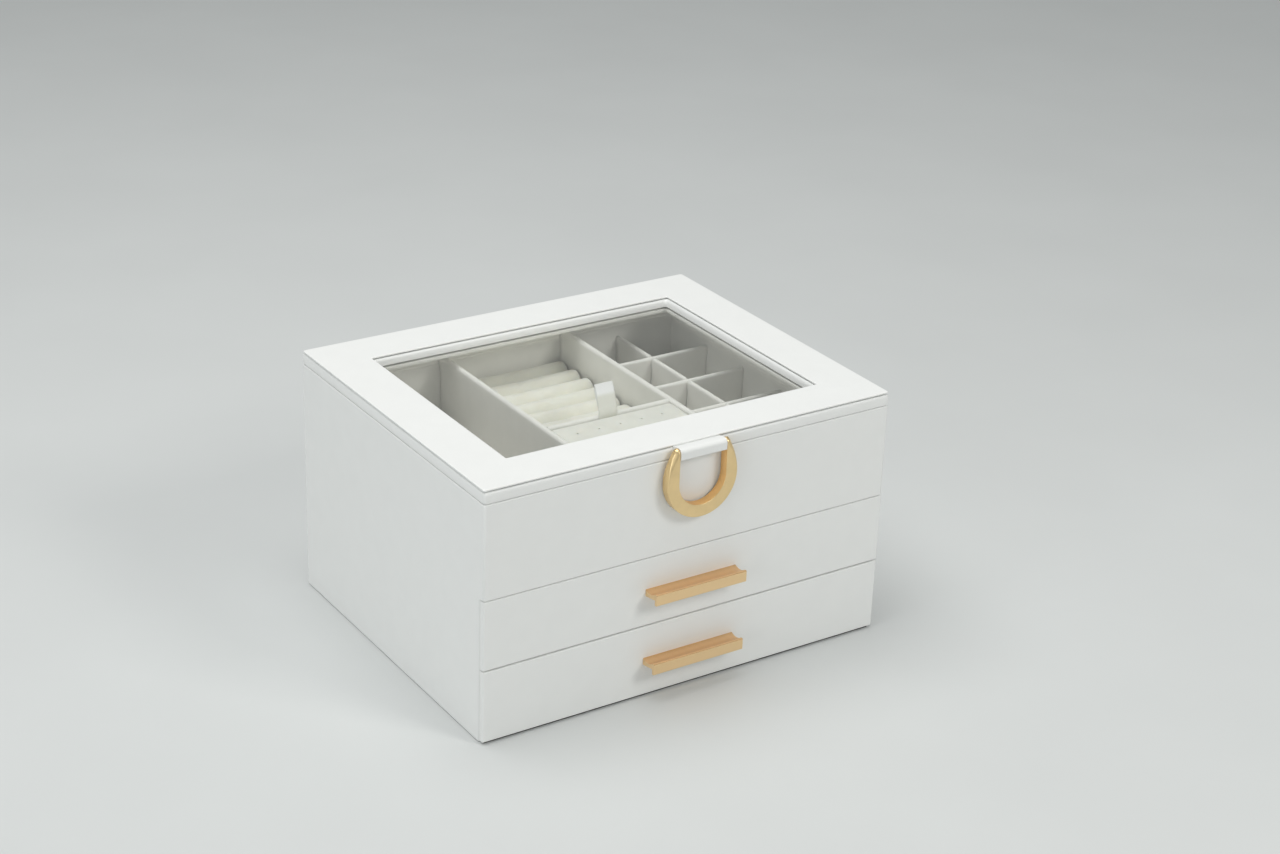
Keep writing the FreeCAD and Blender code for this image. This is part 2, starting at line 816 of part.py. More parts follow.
def lid_plinth_frame():
    """The suede frame under the lid: it holds the glass up and centres the lid."""
    body = new_body("lid_plinth_frame")
    outer_x = well_half - plinth_clearance
    outer_y = well_back - plinth_clearance
    open_x = bead_half_x - plinth_reveal
    open_y = bead_half_y - plinth_reveal
    profile = sketch_on(body, "XY_Plane")
    rectangle(profile, -outer_x, outer_x, -outer_y, outer_y)
    rectangle(profile, -open_x, open_x, -open_y, open_y)
    pad(body, profile, plinth_height)
    fillet(body, lambda edge: at(edge, "z", 0), card_edge_radius)
    place(body, z=lid_low - plinth_height)


glass_half_x = bead_half_x + glass_lap - glass_clearance
glass_half_y = bead_half_y + glass_lap - glass_clearance
lid_cover_frame()
lid_rim_frame()
lid_plinth_frame()
board("glass_pane",
      (-glass_half_x, -glass_half_y, glass_low),
      (glass_half_x * 2, glass_half_y * 2, glass_thickness))


# ---------------------------------------------------------------- handle

bar_y = -half_depth - bar_standoff
bar_z = box_height - bar_drop


def handle_tab():
    """A doubled strip of leatherette from under the cover, looped round the bar."""
    body = new_body("handle_tab")
    loop = bar_radius + tab_bar_gap
    outside = loop + tab_thickness
    slot_top = cover_low - bar_z
    slot_low = slot_top - tab_thickness * 2
    tail_end = bar_standoff + tab_tail
    profile = sketch_on(body, "YZ_Plane")
    outline(profile, [
        (tail_end, slot_low), (tail_end, slot_top), (bar_standoff, slot_top),
        (sine(tab_rise_angle) * outside, cosine(tab_rise_angle) * outside),
        (-outside, zero),
        (sine(tab_fall_angle) * outside, -cosine(tab_fall_angle) * outside),
        (bar_standoff, slot_low)],
        arcs={3: (outside, 1), 4: (outside, 1)})
    circle(profile, 0, 0, loop)
    pad(body, profile, tab_width, both_ways=True)
    place(body, y=bar_y, z=bar_z)


def horseshoe_ring():
    """The cast handle: a horseshoe whose arms thin out to two drilled ears."""
    body = new_body("horseshoe_ring")
    inner = ring_inner_radius
    outer = ring_outer_radius
    ear = ring_depth / 2
    tip = ring_drop + ear
    shoulder = ring_shoulder_radius
    tip_x = outer - shoulder + root(shoulder * shoulder - tip * tip)
    profile = sketch_on(body, "XZ_Plane")
    outline(profile, [
        (-inner, tip), (-inner, zero), (zero, -inner), (inner, zero), (inner, tip),
        (tip_x, tip), (outer, zero), (zero, -outer), (-outer, zero), (-tip_x, tip)],
        arcs={1: (inner, 1), 2: (inner, 1), 5: (shoulder, -1), 6: (outer, -1),
              7: (outer, -1), 8: (shoulder, -1)})
    pad(body, profile, ring_depth, both_ways=True)
    fillet(body, lambda edge: at(edge, "y", -ear) and not at(edge, "z", tip),
           ring_edge_radius)

    ears = sketch_on(body, "YZ_Plane")
    over = tip + ear
    outline(ears, [(-ear, ring_drop), (zero, tip), (ear, ring_drop), (ear * 2, ring_drop),
                   (ear * 2, over), (-ear * 2, over), (-ear * 2, ring_drop)],
            arcs={0: (ear, -1), 1: (ear, -1)})
    cut(body, ears, outer * 3, both_ways=True)

    drilling = sketch_on(body, "YZ_Plane")
    circle(drilling, 0, ring_drop, bar_radius)
    cut(body, drilling, outer * 3, both_ways=True)
    place(body, y=bar_y, z=bar_z - ring_drop)


def handle_bar():
    """The steel bar through both ears, inside the tab's loop."""
    shoulder = ring_shoulder_radius
    reach = ring_outer_radius - shoulder + root(shoulder * shoulder - ring_drop * ring_drop)
    half = reach - bar_radius / 3
    bar = doc.addObject("Part::Cylinder", "handle_bar")
    bar.Label = "handle_bar"
    bar.setExpression("Radius", bar_radius.text)
    bar.setExpression("Height", (half * 2).text)
    bar.Placement.Rotation = FreeCAD.Rotation(FreeCAD.Vector(0, 1, 0), 90)
    place(bar, x=-half, y=bar_y, z=bar_z)


handle_tab()
horseshoe_ring()
handle_bar()


# ---------------------------------------------------------------- drawers

drawer_half = bay_half - drawer_side_clearance
front_back = front_thickness - half_depth
drawer_rear = tray_back - drawer_back_clearance


def drawer_front(name, low, height):
    """The wrapped board that closes the whole width of the case."""
    body = new_body(f"{name}_front_board")
    profile = sketch_on(body, "XZ_Plane")
    rectangle(profile, -half_width, half_width, zero, height)
    pad(body, profile, front_thickness)
    chamfer(body, lambda edge: at(edge, "y", -front_thickness), edge_bevel)
    place(body, y=front_back, z=low)


def drawer_walls(name, low, height):
    """Side walls, and the end walls glued between them."""
    sides = new_body(f"{name}_side_walls")
    profile = sketch_on(sides, "XY_Plane")
    for x in (-drawer_half, drawer_half - drawer_wall):
        rectangle(profile, x, x + drawer_wall, front_back, drawer_rear)
    pad(sides, profile, height)
    place(sides, z=low)

    ends = new_body(f"{name}_end_walls")
    inner = drawer_half - drawer_wall
    profile = sketch_on(ends, "XY_Plane")
    for y in (front_back, drawer_rear - drawer_wall):
        rectangle(profile, -inner, inner, y, y + drawer_wall)
    pad(ends, profile, height)
    place(ends, z=low)


def finger_pull(name, height):
    """An extruded pull: root on the drawer, dished web, lip for the fingers."""
    body = new_body(f"{name}_pull")
    root_high = pull_root_height / 2
    lip_back = pull_lip_thickness - pull_projection
    lip_top = root_high + pull_lip_rise
    lip_low = lip_top - pull_lip_height
    web_low = root_high - pull_web_drop
    profile = sketch_on(body, "YZ_Plane")
    outline(profile, [
        (zero, -root_high), (zero, root_high), (lip_back, lip_top),
        (-pull_projection, lip_top), (-pull_projection, lip_low), (lip_back, lip_low),
        (lip_back, web_low)],
        arcs={1: (pull_groove_radius, -1)})
    pad(body, profile, pull_length, both_ways=True)
    fillet(body, lambda edge: along(edge, "x") and at(edge, "y", -pull_projection)
           | (at(edge, "y", lip_back) and at(edge, "z", lip_low)), pull_edge_radius)
    place(body, y=-half_depth, z=height)


def drawer(name, bay_floor, bay_ceiling, front_low, front_height):
    """One whole drawer; its pull sits at the middle of its front."""
    box_low = bay_floor + drawer_floor_clearance
    wall_low = box_low + drawer_bottom_board
    wall_height = bay_ceiling - drawer_headroom - wall_low
    drawer_front(name, front_low, front_height)
    board(f"{name}_bottom",
          (-drawer_half, front_back, box_low),
          (drawer_half * 2, drawer_rear - front_back, drawer_bottom_board))
    drawer_walls(name, wall_low, wall_height)
    lined_tray(f"{name}_lining", drawer_half - drawer_wall, front_back + drawer_wall,
               drawer_rear - drawer_wall, wall_height, drawer_lining, wall_low)
    finger_pull(name, front_low + front_height / 2)
    return wall_low + drawer_lining


drawer("lower_drawer", base_top, shelf_low, floor_clearance, lower_front_height)
divider_low = drawer("upper_drawer", shelf_top, face_low, upper_front_low, upper_front_height)
divider_top = face_low - drawer_headroom - drawer_divider_drop
divider_front = front_back + drawer_wall + drawer_lining
divider_back = drawer_rear - drawer_wall - drawer_lining
card_divider("upper_drawer_divider", drawer_divider_card, divider_back - divider_front,
             divider_top - divider_low,
             zero, (divider_front + divider_back) / 2, divider_low)


# ---------------------------------------------------------------- check and export

os.makedirs("parts", exist_ok=True)
doc.recompute()
for item in doc.Objects:
    if "Invalid" in item.State or "Error" in item.State:
        raise RuntimeError(f"{item.Label} did not build: {item.State}")
for piece in pieces:
    if piece.Shape.isNull() or not piece.Shape.isValid() or not piece.Shape.Solids:
        raise RuntimeError(f"{piece.Label} has no sound solid")
for piece in pieces:
    piece.Shape.exportStep(f"parts/{piece.Label}.step")
print(len(pieces), "pieces written")
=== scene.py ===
import math
import random

import bmesh
import bpy
from mathutils import Matrix, Vector, noise


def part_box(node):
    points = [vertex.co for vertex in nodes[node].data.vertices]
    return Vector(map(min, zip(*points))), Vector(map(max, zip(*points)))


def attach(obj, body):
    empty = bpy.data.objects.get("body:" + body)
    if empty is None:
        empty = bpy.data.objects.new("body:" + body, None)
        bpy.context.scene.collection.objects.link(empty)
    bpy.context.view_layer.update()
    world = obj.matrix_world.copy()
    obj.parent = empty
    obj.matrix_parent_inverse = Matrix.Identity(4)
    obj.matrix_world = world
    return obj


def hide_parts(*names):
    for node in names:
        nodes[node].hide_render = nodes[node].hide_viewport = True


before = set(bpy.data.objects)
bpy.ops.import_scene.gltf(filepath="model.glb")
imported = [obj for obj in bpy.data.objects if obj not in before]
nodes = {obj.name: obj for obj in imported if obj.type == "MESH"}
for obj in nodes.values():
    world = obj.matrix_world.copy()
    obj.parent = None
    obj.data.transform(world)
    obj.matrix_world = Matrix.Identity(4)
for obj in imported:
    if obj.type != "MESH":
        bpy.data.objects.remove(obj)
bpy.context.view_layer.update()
mm = 0.001


# ---------------------------------------------------------------- camera
# A product-table view from the front left, a little above the lid, so that the
# glass shows the tray. The box stands slightly low in the frame.

view_turn = math.radians(-33.8)        # from straight in front, round to the left
view_rise = math.radians(24.46)
view_roll = math.radians(2.07)
view_distance = 1.4066
view_across = 0.0293                   # the box sits this far left of the frame's middle
view_up = 0.0456                       # and this far below it
aim_height = 0.065
lens = 68.41

back = Vector((math.sin(view_turn) * math.cos(view_rise),
               -math.cos(view_turn) * math.cos(view_rise),
               math.sin(view_rise)))
level = Vector((0, 0, 1)).cross(back).normalized()
upright = back.cross(level)
across = math.cos(view_roll) * level + math.sin(view_roll) * upright
upward = math.cos(view_roll) * upright - math.sin(view_roll) * level

camera = bpy.data.objects.new("camera", bpy.data.cameras.new("camera"))
camera.data.sensor_width = 36
camera.data.lens = lens
camera.location = (back * view_distance + across * view_across + upward * view_up
                   + Vector((0, 0, aim_height)))
camera.rotation_mode = "QUATERNION"
camera.rotation_quaternion = Matrix((across, upward, back)).transposed().to_quaternion()
bpy.context.scene.collection.objects.link(camera)
bpy.context.scene.camera = camera


# ---------------------------------------------------------------- case boards
# Side, back, front and floor boards of raw fibreboard, glued and pinned at their
# edges. They show only inside the drawer bays, where they aren't covered.

board_brown = (0.42, 0.29, 0.18)
board_fibre = 0.9 * mm
board_blotch = 20 * mm
case_boards = ["base_panel", "left_side_panel", "right_side_panel", "back_panel",
               "upper_front_panel", "tray_floor", "drawer_shelf"]


def new_material(name):
    """A material with its node tree, its shader and the piece's own coordinates."""
    material = bpy.data.materials.new(name)
    material.use_nodes = True
    tree = material.node_tree
    shader = tree.nodes["Principled BSDF"]
    place = tree.nodes.new("ShaderNodeTexCoord").outputs["Object"]
    return material, tree, shader, place


def feed(tree, node, inputs):
    """Link each input of a node to a socket, or set it to a value."""
    for name, value in inputs.items():
        if isinstance(value, bpy.types.NodeSocket):
            tree.links.new(value, node.inputs[name])
        else:
            node.inputs[name].default_value = value


def add(tree, kind, inputs=None, **settings):
    made = tree.nodes.new(kind)
    for name, value in settings.items():
        setattr(made, name, value)
    feed(tree, made, inputs or {})
    return made


def grain(tree, place, size, detail=3.0, stretch=(1, 1, 1)):
    """Soft noise whose lumps are about size metres across."""
    scaled = add(tree, "ShaderNodeMapping", {
        "Vector": place, "Scale": [s / size for s in stretch]}).outputs["Vector"]
    return add(tree, "ShaderNodeTexNoise", {
        "Vector": scaled, "Scale": 1.0, "Detail": detail}).outputs["Fac"]


def ranged(tree, fac, low, high, of=(0.3, 0.7)):
    return add(tree, "ShaderNodeMapRange", {
        "Value": fac, "From Min": of[0], "From Max": of[1],
        "To Min": low, "To Max": high}).outputs["Result"]


def between(tree, fac, first, second, of=(0.3, 0.7)):
    """A colour that wanders from the first to the second as fac does."""
    first, second = (tone if isinstance(tone, bpy.types.NodeSocket) else (*tone, 1)
                     for tone in (first, second))
    return add(tree, "ShaderNodeMix", {0: ranged(tree, fac, 0, 1, of), 6: first, 7: second},
               data_type="RGBA").outputs[2]


def bumped(tree, height, distance, strength=1.0, under=None):
    inputs = {"Height": height, "Distance": distance, "Strength": strength}
    if under is not None:
        inputs["Normal"] = under
    return add(tree, "ShaderNodeBump", inputs).outputs["Normal"]


def shade(colour, amount):
    return tuple(c * amount for c in colour)


def fibreboard():
    material, tree, shader, place = new_material("fibreboard")
    fibres = grain(tree, place, board_fibre, detail=6)
    blotches = grain(tree, place, board_blotch)
    feed(tree, shader, {
        "Base Color": between(tree, fibres, shade(board_brown, 0.8), shade(board_brown, 1.15)),
        "Roughness": ranged(tree, blotches, 0.8, 0.95),
        "Normal": bumped(tree, fibres, 0.08 * mm)})
    return material


def finish_node(name, material):
    """Give a CAD node its finish."""
    piece = nodes[name]
    piece.data.materials.clear()
    piece.data.materials.append(material)
    return piece


raw_board = fibreboard()
for name in case_boards:
    finish_node(name, raw_board)


# ---------------------------------------------------------------- felt base
# A sheet of dark grey wool felt, cut by hand and glued under the base so that the
# box slides without marking the table. Its edge stays just back from the wrap.

felt_grey = (0.018, 0.018, 0.016)
felt_fibre = 0.7 * mm
felt_half = (128.5 * mm, 103.4 * mm)
felt_thick = 0.48 * mm
felt_fray = 0.25 * mm
felt_wander = 4 * mm           # the length of the waves in its edge
felt_steps = 90                # points along each side of the cut
# inset in millimetres, and share of the thickness
felt_edge = ((0.3, 0.0), (0.06, 0.25), (0.0, 0.5), (0.06, 0.75), (0.3, 1.0))


def felt():
    material, tree, shader, place = new_material("felt")
    fibres = grain(tree, place, felt_fibre, detail=8)
    feed(tree, shader, {
        "Base Color": between(tree, fibres, shade(felt_grey, 0.5), shade(felt_grey, 1.8)),
        "Roughness": 1.0,
        "Specular IOR Level": 0.1,
        "Normal": bumped(tree, fibres, 0.2 * mm)})
    return material


def join_loops(form, loops):
    """Make the faces between each closed loop and the next, each with its place round."""
    faces = []
    for loop, following in zip(loops, loops[1:]):
        for n in range(len(loop)):
            last = (n + 1) % len(loop)
            faces.append((n, form.faces.new(
                (loop[n], loop[last], following[last], following[n]))))
    return faces


def made_piece(form, name):
    """Turn a finished form into a piece of the scene."""
    mesh = bpy.data.meshes.new(name)
    form.to_mesh(mesh)
    form.free()
    piece = bpy.data.objects.new(name, mesh)
    bpy.context.scene.collection.objects.link(piece)
    return piece


def stand_for(piece, node, material, body):
    """Finish a made piece, and let it stand for its solid on the body that carries it."""
    piece.data.materials.append(material)
    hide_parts(node)
    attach(piece, body)


def felt_sheet():
    """A thin sheet whose cut edge wanders and is rounded by its loose fibres."""
    corners = [(-1, -1), (1, -1), (1, 1), (-1, 1)]
    outline = []
    for (x0, y0), (x1, y1) in zip(corners, corners[1:] + corners[:1]):
        for step in range(felt_steps):
            x = felt_half[0] * (x0 + (x1 - x0) * step / felt_steps)
            y = felt_half[1] * (y0 + (y1 - y0) * step / felt_steps)
            wander = 1 - felt_fray * (0.5 + 0.5 * noise.noise(
                Vector((x, y, 0)) / felt_wander)) / felt_half[1]
            outline.append((x * wander, y * wander))
    form = bmesh.new()
    rows = [[form.verts.new((x * (1 - inset * mm / felt_half[0]),
                             y * (1 - inset * mm / felt_half[1]), share * felt_thick))
             for x, y in outline] for inset, share in felt_edge]
    for n, face in join_loops(form, rows):
        face.smooth = True
    form.faces.new(rows[0][::-1])
    form.faces.new(rows[-1])
    return made_piece(form, "felt_sheet")


stand_for(felt_sheet(), "felt_base", felt(), "case")


# ---------------------------------------------------------------- leatherette wrap
# White coated leather cloth, glued round the boards and folded in over the rim.
# It has a fine pressed grain, and every folded edge is a little soft.

leather_white = (0.845, 0.85, 0.835)
leather_pebble = 0.55 * mm
wrap_edge = 0.5 * mm


def leatherette():
    """Fine pebbles pressed in a satin skin, over the board's slow waviness."""
    material, tree, shader, place = new_material("white_leatherette")
    wander = grain(tree, place, 4 * mm, detail=1)
    clouds = grain(tree, place, 12 * mm, detail=4)
    waves = bumped(tree, grain(tree, place, 30 * mm, detail=1), 0.25 * mm, 0.35)
    pebbles = add(tree, "ShaderNodeTexVoronoi", {
        "Vector": place, "Scale": 1 / leather_pebble, "Randomness": 0.9},
        feature="SMOOTH_F1").outputs["Distance"]
    feed(tree, shader, {
        "Base Color": between(tree, clouds, shade(leather_white, 0.985), leather_white),
        "Roughness": ranged(tree, wander, 0.40, 0.50),
        "Specular IOR Level": 0.4,
        "Normal": bumped(tree, pebbles, 0.06 * mm, 0.5, under=waves)})
    return material


def soften(piece, width):
    """Round every sharp edge of a folded piece by the thickness of its skin."""
    weld = piece.modifiers.new("weld", "WELD")
    weld.merge_threshold = 1e-6
    flat = piece.modifiers.new("flat", "DECIMATE")
    flat.decimate_type = "DISSOLVE"
    flat.angle_limit = math.radians(0.5)
    bevel = piece.modifiers.new("bevel", "BEVEL")
    bevel.width = width
    bevel.segments = 3
    bevel.limit_method = "ANGLE"
    bevel.angle_limit = math.radians(25)
    bevel.harden_normals = True


white_leather = leatherette()
soften(finish_node("case_wrap", white_leather), wrap_edge)


# ---------------------------------------------------------------- tray lining and dividers
# Stiff card covered in pale grey microsuede, glued into the tray. The dividers
# are cards on edge with the suede folded over their tops; the grid is halved.

suede_grey = (0.895, 0.885, 0.845)
suede_nap = 0.35 * mm
card_flat = 9 * mm             # the suede lies flat on its card up to this far below the top
card_swell = ((0.93, 5 * mm), (1.0, 2.6 * mm))     # share of its full width, and how far below
card_crown = 1.5 * mm
card_steps = 60
card_lump = (9 * mm, 0.1 * mm)                     # how wide and how high the suede's lumps are
card_lumpy = 6 * mm                                # they reach this far below the top
# name, axis along it, puff on either side, and rise
dividers = (("left_divider", 1, (1.1 * mm, 0.2 * mm), 0.0),
            ("main_divider", 1, (0.2 * mm, 1.1 * mm), 0.0),
            ("ring_divider", 0, (0.3 * mm, 0.7 * mm), 0.9 * mm))
grid_puff = (0.45 * mm, 0.55 * mm)
slot_reach = 9 * mm            # a halving slot is cut this far out from the middle of its card
above_all = 1.0                # a height past every piece, for cutting upward


def suede():
    """Short nap, brushed lighter and darker in patches."""
    material, tree, shader, place = new_material("grey_suede")
    nap = grain(tree, place, suede_nap, detail=4)
    brushed = grain(tree, place, 11 * mm, detail=3, stretch=(1, 1, 0.6))
    feed(tree, shader, {
        "Base Color": between(tree, brushed, shade(suede_grey, 0.97), shade(suede_grey, 1.02)),
        "Roughness": ranged(tree, nap, 0.86, 0.98),
        "Normal": bumped(tree, nap, 0.09 * mm, 0.7),
        "Sheen Weight": 0.22,
        "Sheen Roughness": 0.5,
        "Specular IOR Level": 0.2})
    return material


def keep_modified(piece):
    """Replace a piece's mesh by what its modifiers make of it."""
    graph = bpy.context.evaluated_depsgraph_get()
    made = bpy.data.meshes.new_from_object(piece.evaluated_get(graph))
    piece.modifiers.clear()
    piece.data = made


def cut_away(piece, cutter):
    """Take the cutter's form out of a piece, and clear the cutter away."""
    cut = piece.modifiers.new("cut", "BOOLEAN")
    cut.object = cutter
    cut.solver = "EXACT"
    keep_modified(piece)
    bpy.data.objects.remove(cutter)


def cut_boxes(piece, boxes):
    """Cut box-shaped recesses, each given by its low and high corners."""
    for low, high in boxes:
        bpy.ops.mesh.primitive_cube_add(size=1)
        cutter = bpy.context.object
        cutter.scale = [b - a for a, b in zip(low, high)]
        cutter.location = [(a + b) / 2 for a, b in zip(low, high)]
        bpy.context.view_layer.update()
        cut_away(piece, cutter)


def close_bar(form, rows):
    """Close both ends of a swept bar, and turn its faces outward."""
    form.faces.new(rows[0])
    form.faces.new(rows[-1][::-1])
    bmesh.ops.recalc_face_normals(form, faces=form.faces)


def card(node, along, puff, rise=0.0):
    """A covered card on edge, with the middle and half the width of its top.

    The suede stands out by puff on each side of the top, which is raised by rise.
    """
    low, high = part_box(node)
    top = high[2] + rise
    thin = 1 - along
    half = (high[thin] - low[thin] + puff[0] + puff[1]) / 2
    middle = (high[thin] + low[thin] + puff[1] - puff[0]) / 2
    swell = [(half * share, top - down) for share, down in card_swell]
    crown = [(middle + half * math.cos(turn), top - card_crown * (1 - math.sin(turn)))
             for turn in [math.pi * step / 12 for step in range(13)]]
    section = ([(low[thin], low[2]), (high[thin], low[2]), (high[thin], top - card_flat)]
               + [(middle + out, z) for out, z in swell] + crown
               + [(middle - out, z) for out, z in reversed(swell)]
               + [(low[thin], top - card_flat)])
    form = bmesh.new()
    rows = []
    for step in range(card_steps + 1):
        reach = low[along] + (high[along] - low[along]) * step / card_steps
        row = []
        for across, z in section:
            point = Vector((0, 0, z))
            point[along], point[thin] = reach, across
            lump = noise.noise(point / card_lump[0]) * card_lump[1]
            if z > top - card_lumpy:
                point[thin] += lump
                point[2] -= abs(lump)
            row.append(form.verts.new(point))
        rows.append(row)
    for n, face in join_loops(form, rows):
        face.smooth = n > 2            # the foot and the side beside it stay flat
    close_bar(form, rows)
    return made_piece(form, f"{node}_card"), middle, half


grey_suede = suede()
finish_node("tray_lining", grey_suede)
finish_node("pad_ledges", grey_suede)
for node, along, puff, rise in dividers:
    wall = card(node, along, puff, rise)[0]
    stand_for(wall, node, grey_suede, "case")

long_card, long_middle, long_half = card("grid_long_divider", 1, grid_puff)
halved_at = (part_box("grid_long_divider")[0][2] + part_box("grid_long_divider")[1][2]) / 2
long_slots = []
for row in range(1, 5):
    node = f"grid_cross_divider_{row}"
    cross_card, middle, half = card(node, 0, grid_puff)
    cut_boxes(cross_card, [((long_middle - long_half, middle - slot_reach, 0),
                            (long_middle + long_half, middle + slot_reach, halved_at))])
    long_slots.append(((long_middle - slot_reach, middle - half, halved_at),
                       (long_middle + slot_reach, middle + half, above_all)))
    stand_for(cross_card, node, grey_suede, "case")
cut_boxes(long_card, long_slots)
stand_for(long_card, "grid_long_divider", grey_suede, "case")
finish_node("upper_drawer_divider", grey_suede)


# ---------------------------------------------------------------- ring rolls
# Eight foam rolls in cream velvet, glued side by side on the tray floor. Rings
# stand in the joints between them. Each roll's velvet is tucked in at its ends.

roll_cream = (0.885, 0.875, 0.79)
velvet_pile = 0.4 * mm
roll_count = 8
roll_inset = 0.6 * mm          # the foam is this much smaller than the space it fills
roll_pleats = 7
roll_tuck = 3.5 * mm           # the velvet is drawn in over this length at each end
pleat_depth = 0.05
form_scale = 10.0              # cloth is simulated at this many times life size
cloth_voxel = 1.1 * mm
cloth_frames = 20
foam_lump = (6 * mm, 0.12)     # lumps this wide, and this many millimetres high
glue_fade = 0.15               # the glue lets go over this share of the height


def velvet(name, colour):
    """A short dense pile that lies lighter and darker where it has been touched."""
    material, tree, shader, place = new_material(name)
    pile = grain(tree, place, velvet_pile, detail=5)
    touched = grain(tree, place, 7 * mm, detail=3)
    feed(tree, shader, {
        "Base Color": between(tree, touched, shade(colour, 0.95), shade(colour, 1.02)),
        "Roughness": ranged(tree, pile, 0.85, 1.0),
        "Normal": bumped(tree, pile, 0.12 * mm, 0.7),
        "Subsurface Weight": 0.5,
        "Subsurface Radius": (1.0, 0.9, 0.75),
        "Subsurface Scale": 4 * mm,
        "Sheen Weight": 0.6,
        "Sheen Roughness": 0.5,
        "Specular IOR Level": 0.15})
    return material


def foam_form(name, node, inset, voxel=cloth_voxel):
    """The foam under a cover: the node's form, closed and even, at the simulation's size."""
    low, high = (Vector(corner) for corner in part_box(node))
    middle, half = (low + high) / 2, (high - low) / 2
    piece = bpy.data.objects.new(name, nodes[node].data.copy())
    bpy.context.scene.collection.objects.link(piece)
    for vertex in piece.data.vertices:
        out = vertex.co - middle
        vertex.co = form_scale * Vector([out[i] * (1 - inset / half[i]) for i in range(3)])
    remesh = piece.modifiers.new("even", "REMESH")
    remesh.mode = "VOXEL"
    remesh.voxel_size = voxel * form_scale
    keep_modified(piece)
    return piece, middle, half


def swell(piece, pressure, held, reach, half, shift):
    """Let the cover swell like cloth over foam, then put it in place.

    Its lowest part, the share held, stays glued. No point moves further than reach,
    or leaves the space that the piece fills.
    """
    start = [vertex.co.copy() for vertex in piece.data.vertices]
    foot = min(point.z for point in start)
    height = max(point.z for point in start) - foot
    glued = piece.vertex_groups.new(name="glued")
    for number, point in enumerate(start):
        weight = (foot + held * height - point.z) / (glue_fade * height)
        if weight > 0:
            glued.add([number], min(weight, 1.0), "REPLACE")
        lumps = noise.noise((point + shift * form_scale) / (form_scale * foam_lump[0]))
        piece.data.vertices[number].co += (
            point.normalized() * lumps * form_scale * foam_lump[1] * mm)
    cloth = piece.modifiers.new("cover", "CLOTH")
    cloth.settings.vertex_group_mass = "glued"
    cloth.settings.use_pressure = True
    cloth.settings.uniform_pressure_force = pressure
    cloth.settings.effector_weights.gravity = 0
    cloth.point_cache.frame_start = 1
    cloth.point_cache.frame_end = cloth_frames
    for moment in range(1, cloth_frames + 1):
        bpy.context.scene.frame_set(moment)
    keep_modified(piece)
    bpy.context.scene.frame_set(1)
    for vertex, before in zip(piece.data.vertices, start):
        move = vertex.co - before
        if move.length > reach * form_scale:
            move *= reach * form_scale / move.length
        point = (before + move) / form_scale
        for i in range(3):
            point[i] = max(-half[i], min(half[i], point[i]))
        vertex.co = point + shift


def dress_soft(piece, node, material):
    """Smooth a soft piece, give it its fabric, and let it stand for its node."""
    for polygon in piece.data.polygons:
        polygon.use_smooth = True
    rounded = piece.modifiers.new("rounded", "SUBSURF")
    rounded.levels = rounded.render_levels = 1
    piece.data.materials.clear()
    stand_for(piece, node, material, "case")


cream_velvet = velvet("cream_velvet", roll_cream)
for number in range(1, roll_count + 1):
    node = f"ring_roll_{number}"
    roll, middle, half = foam_form(f"velvet_roll_{number}", node, roll_inset)
    swell(roll, pressure=0.5, held=0.3, reach=0.6 * mm, half=half, shift=middle)
    turn = random.Random(number).uniform(0, 6)
    for vertex in roll.data.vertices:
        out = vertex.co - middle
        from_end = half.x - abs(out.x)
        around = math.atan2(out.z, out.y)
        pleat = 0.5 + 0.5 * math.sin(roll_pleats * around + turn)
        tucked = max(0.0, 1 - from_end / roll_tuck) ** 2
        vertex.co.y -= out.y * pleat_depth * pleat * tucked
        vertex.co.z -= max(0.0, out.z) * pleat_depth * (1 + pleat) * tucked
    dress_soft(roll, node, cream_velvet)


# ---------------------------------------------------------------- earring pad
# A foam pad in the same velvet, lifting out of the front of the middle bay. Rows
# of small punched holes take the earrings' posts.

pad_cream = (0.85, 0.845, 0.775)
pad_inset = 0.35 * mm
pad_voxel = 0.85 * mm
stud_columns = (-32 * mm, -18 * mm, -4 * mm, 10 * mm, 23.5 * mm)
stud_rows = (-36 * mm, -58 * mm, -80 * mm)
stud_radius = 0.65 * mm
stud_depth = 3.5 * mm
stud_draw = (1.6 * mm, 0.45 * mm)      # how far round, and how deep, a hole draws the velvet
stud_sides = 20
pad_skin = 2 * mm              # only the velvet this near the top is drawn in


def add_rod(form, radius, length, sides, place):
    bmesh.ops.create_cone(form, cap_ends=True, segments=sides, radius1=radius, radius2=radius,
                          depth=length, matrix=place)


def punched(piece, places, top):
    """Sink small round holes, each with the cover drawn down a little round it."""
    for vertex in piece.data.vertices:
        if vertex.co.z < top - pad_skin:
            continue
        for x, y in places:
            far = math.hypot(vertex.co.x - x, vertex.co.y - y)
            vertex.co.z -= stud_draw[1] * math.exp(-(far / stud_draw[0]) ** 2)
    keep_modified(piece)
    punches = bmesh.new()
    for x, y in places:
        add_rod(punches, stud_radius, stud_depth * 2, stud_sides,
                Matrix.Translation((x, y, top)))
    cut_away(piece, made_piece(punches, "punch"))


pad, middle, half = foam_form("velvet_pad", "earring_pad", pad_inset, voxel=pad_voxel)
swell(pad, pressure=0.15, held=0.6, reach=0.5 * mm, half=half, shift=middle)
dress_soft(pad, "earring_pad", velvet("pad_velvet", pad_cream))
punched(pad, [(x, y) for x in stud_columns for y in stud_rows], middle.z + half.z)


# ---------------------------------------------------------------- ribbon pull
# A white satin ribbon glued double behind the pad, to lift it by. Its folded end
# lies back over the rolls, a little askew.

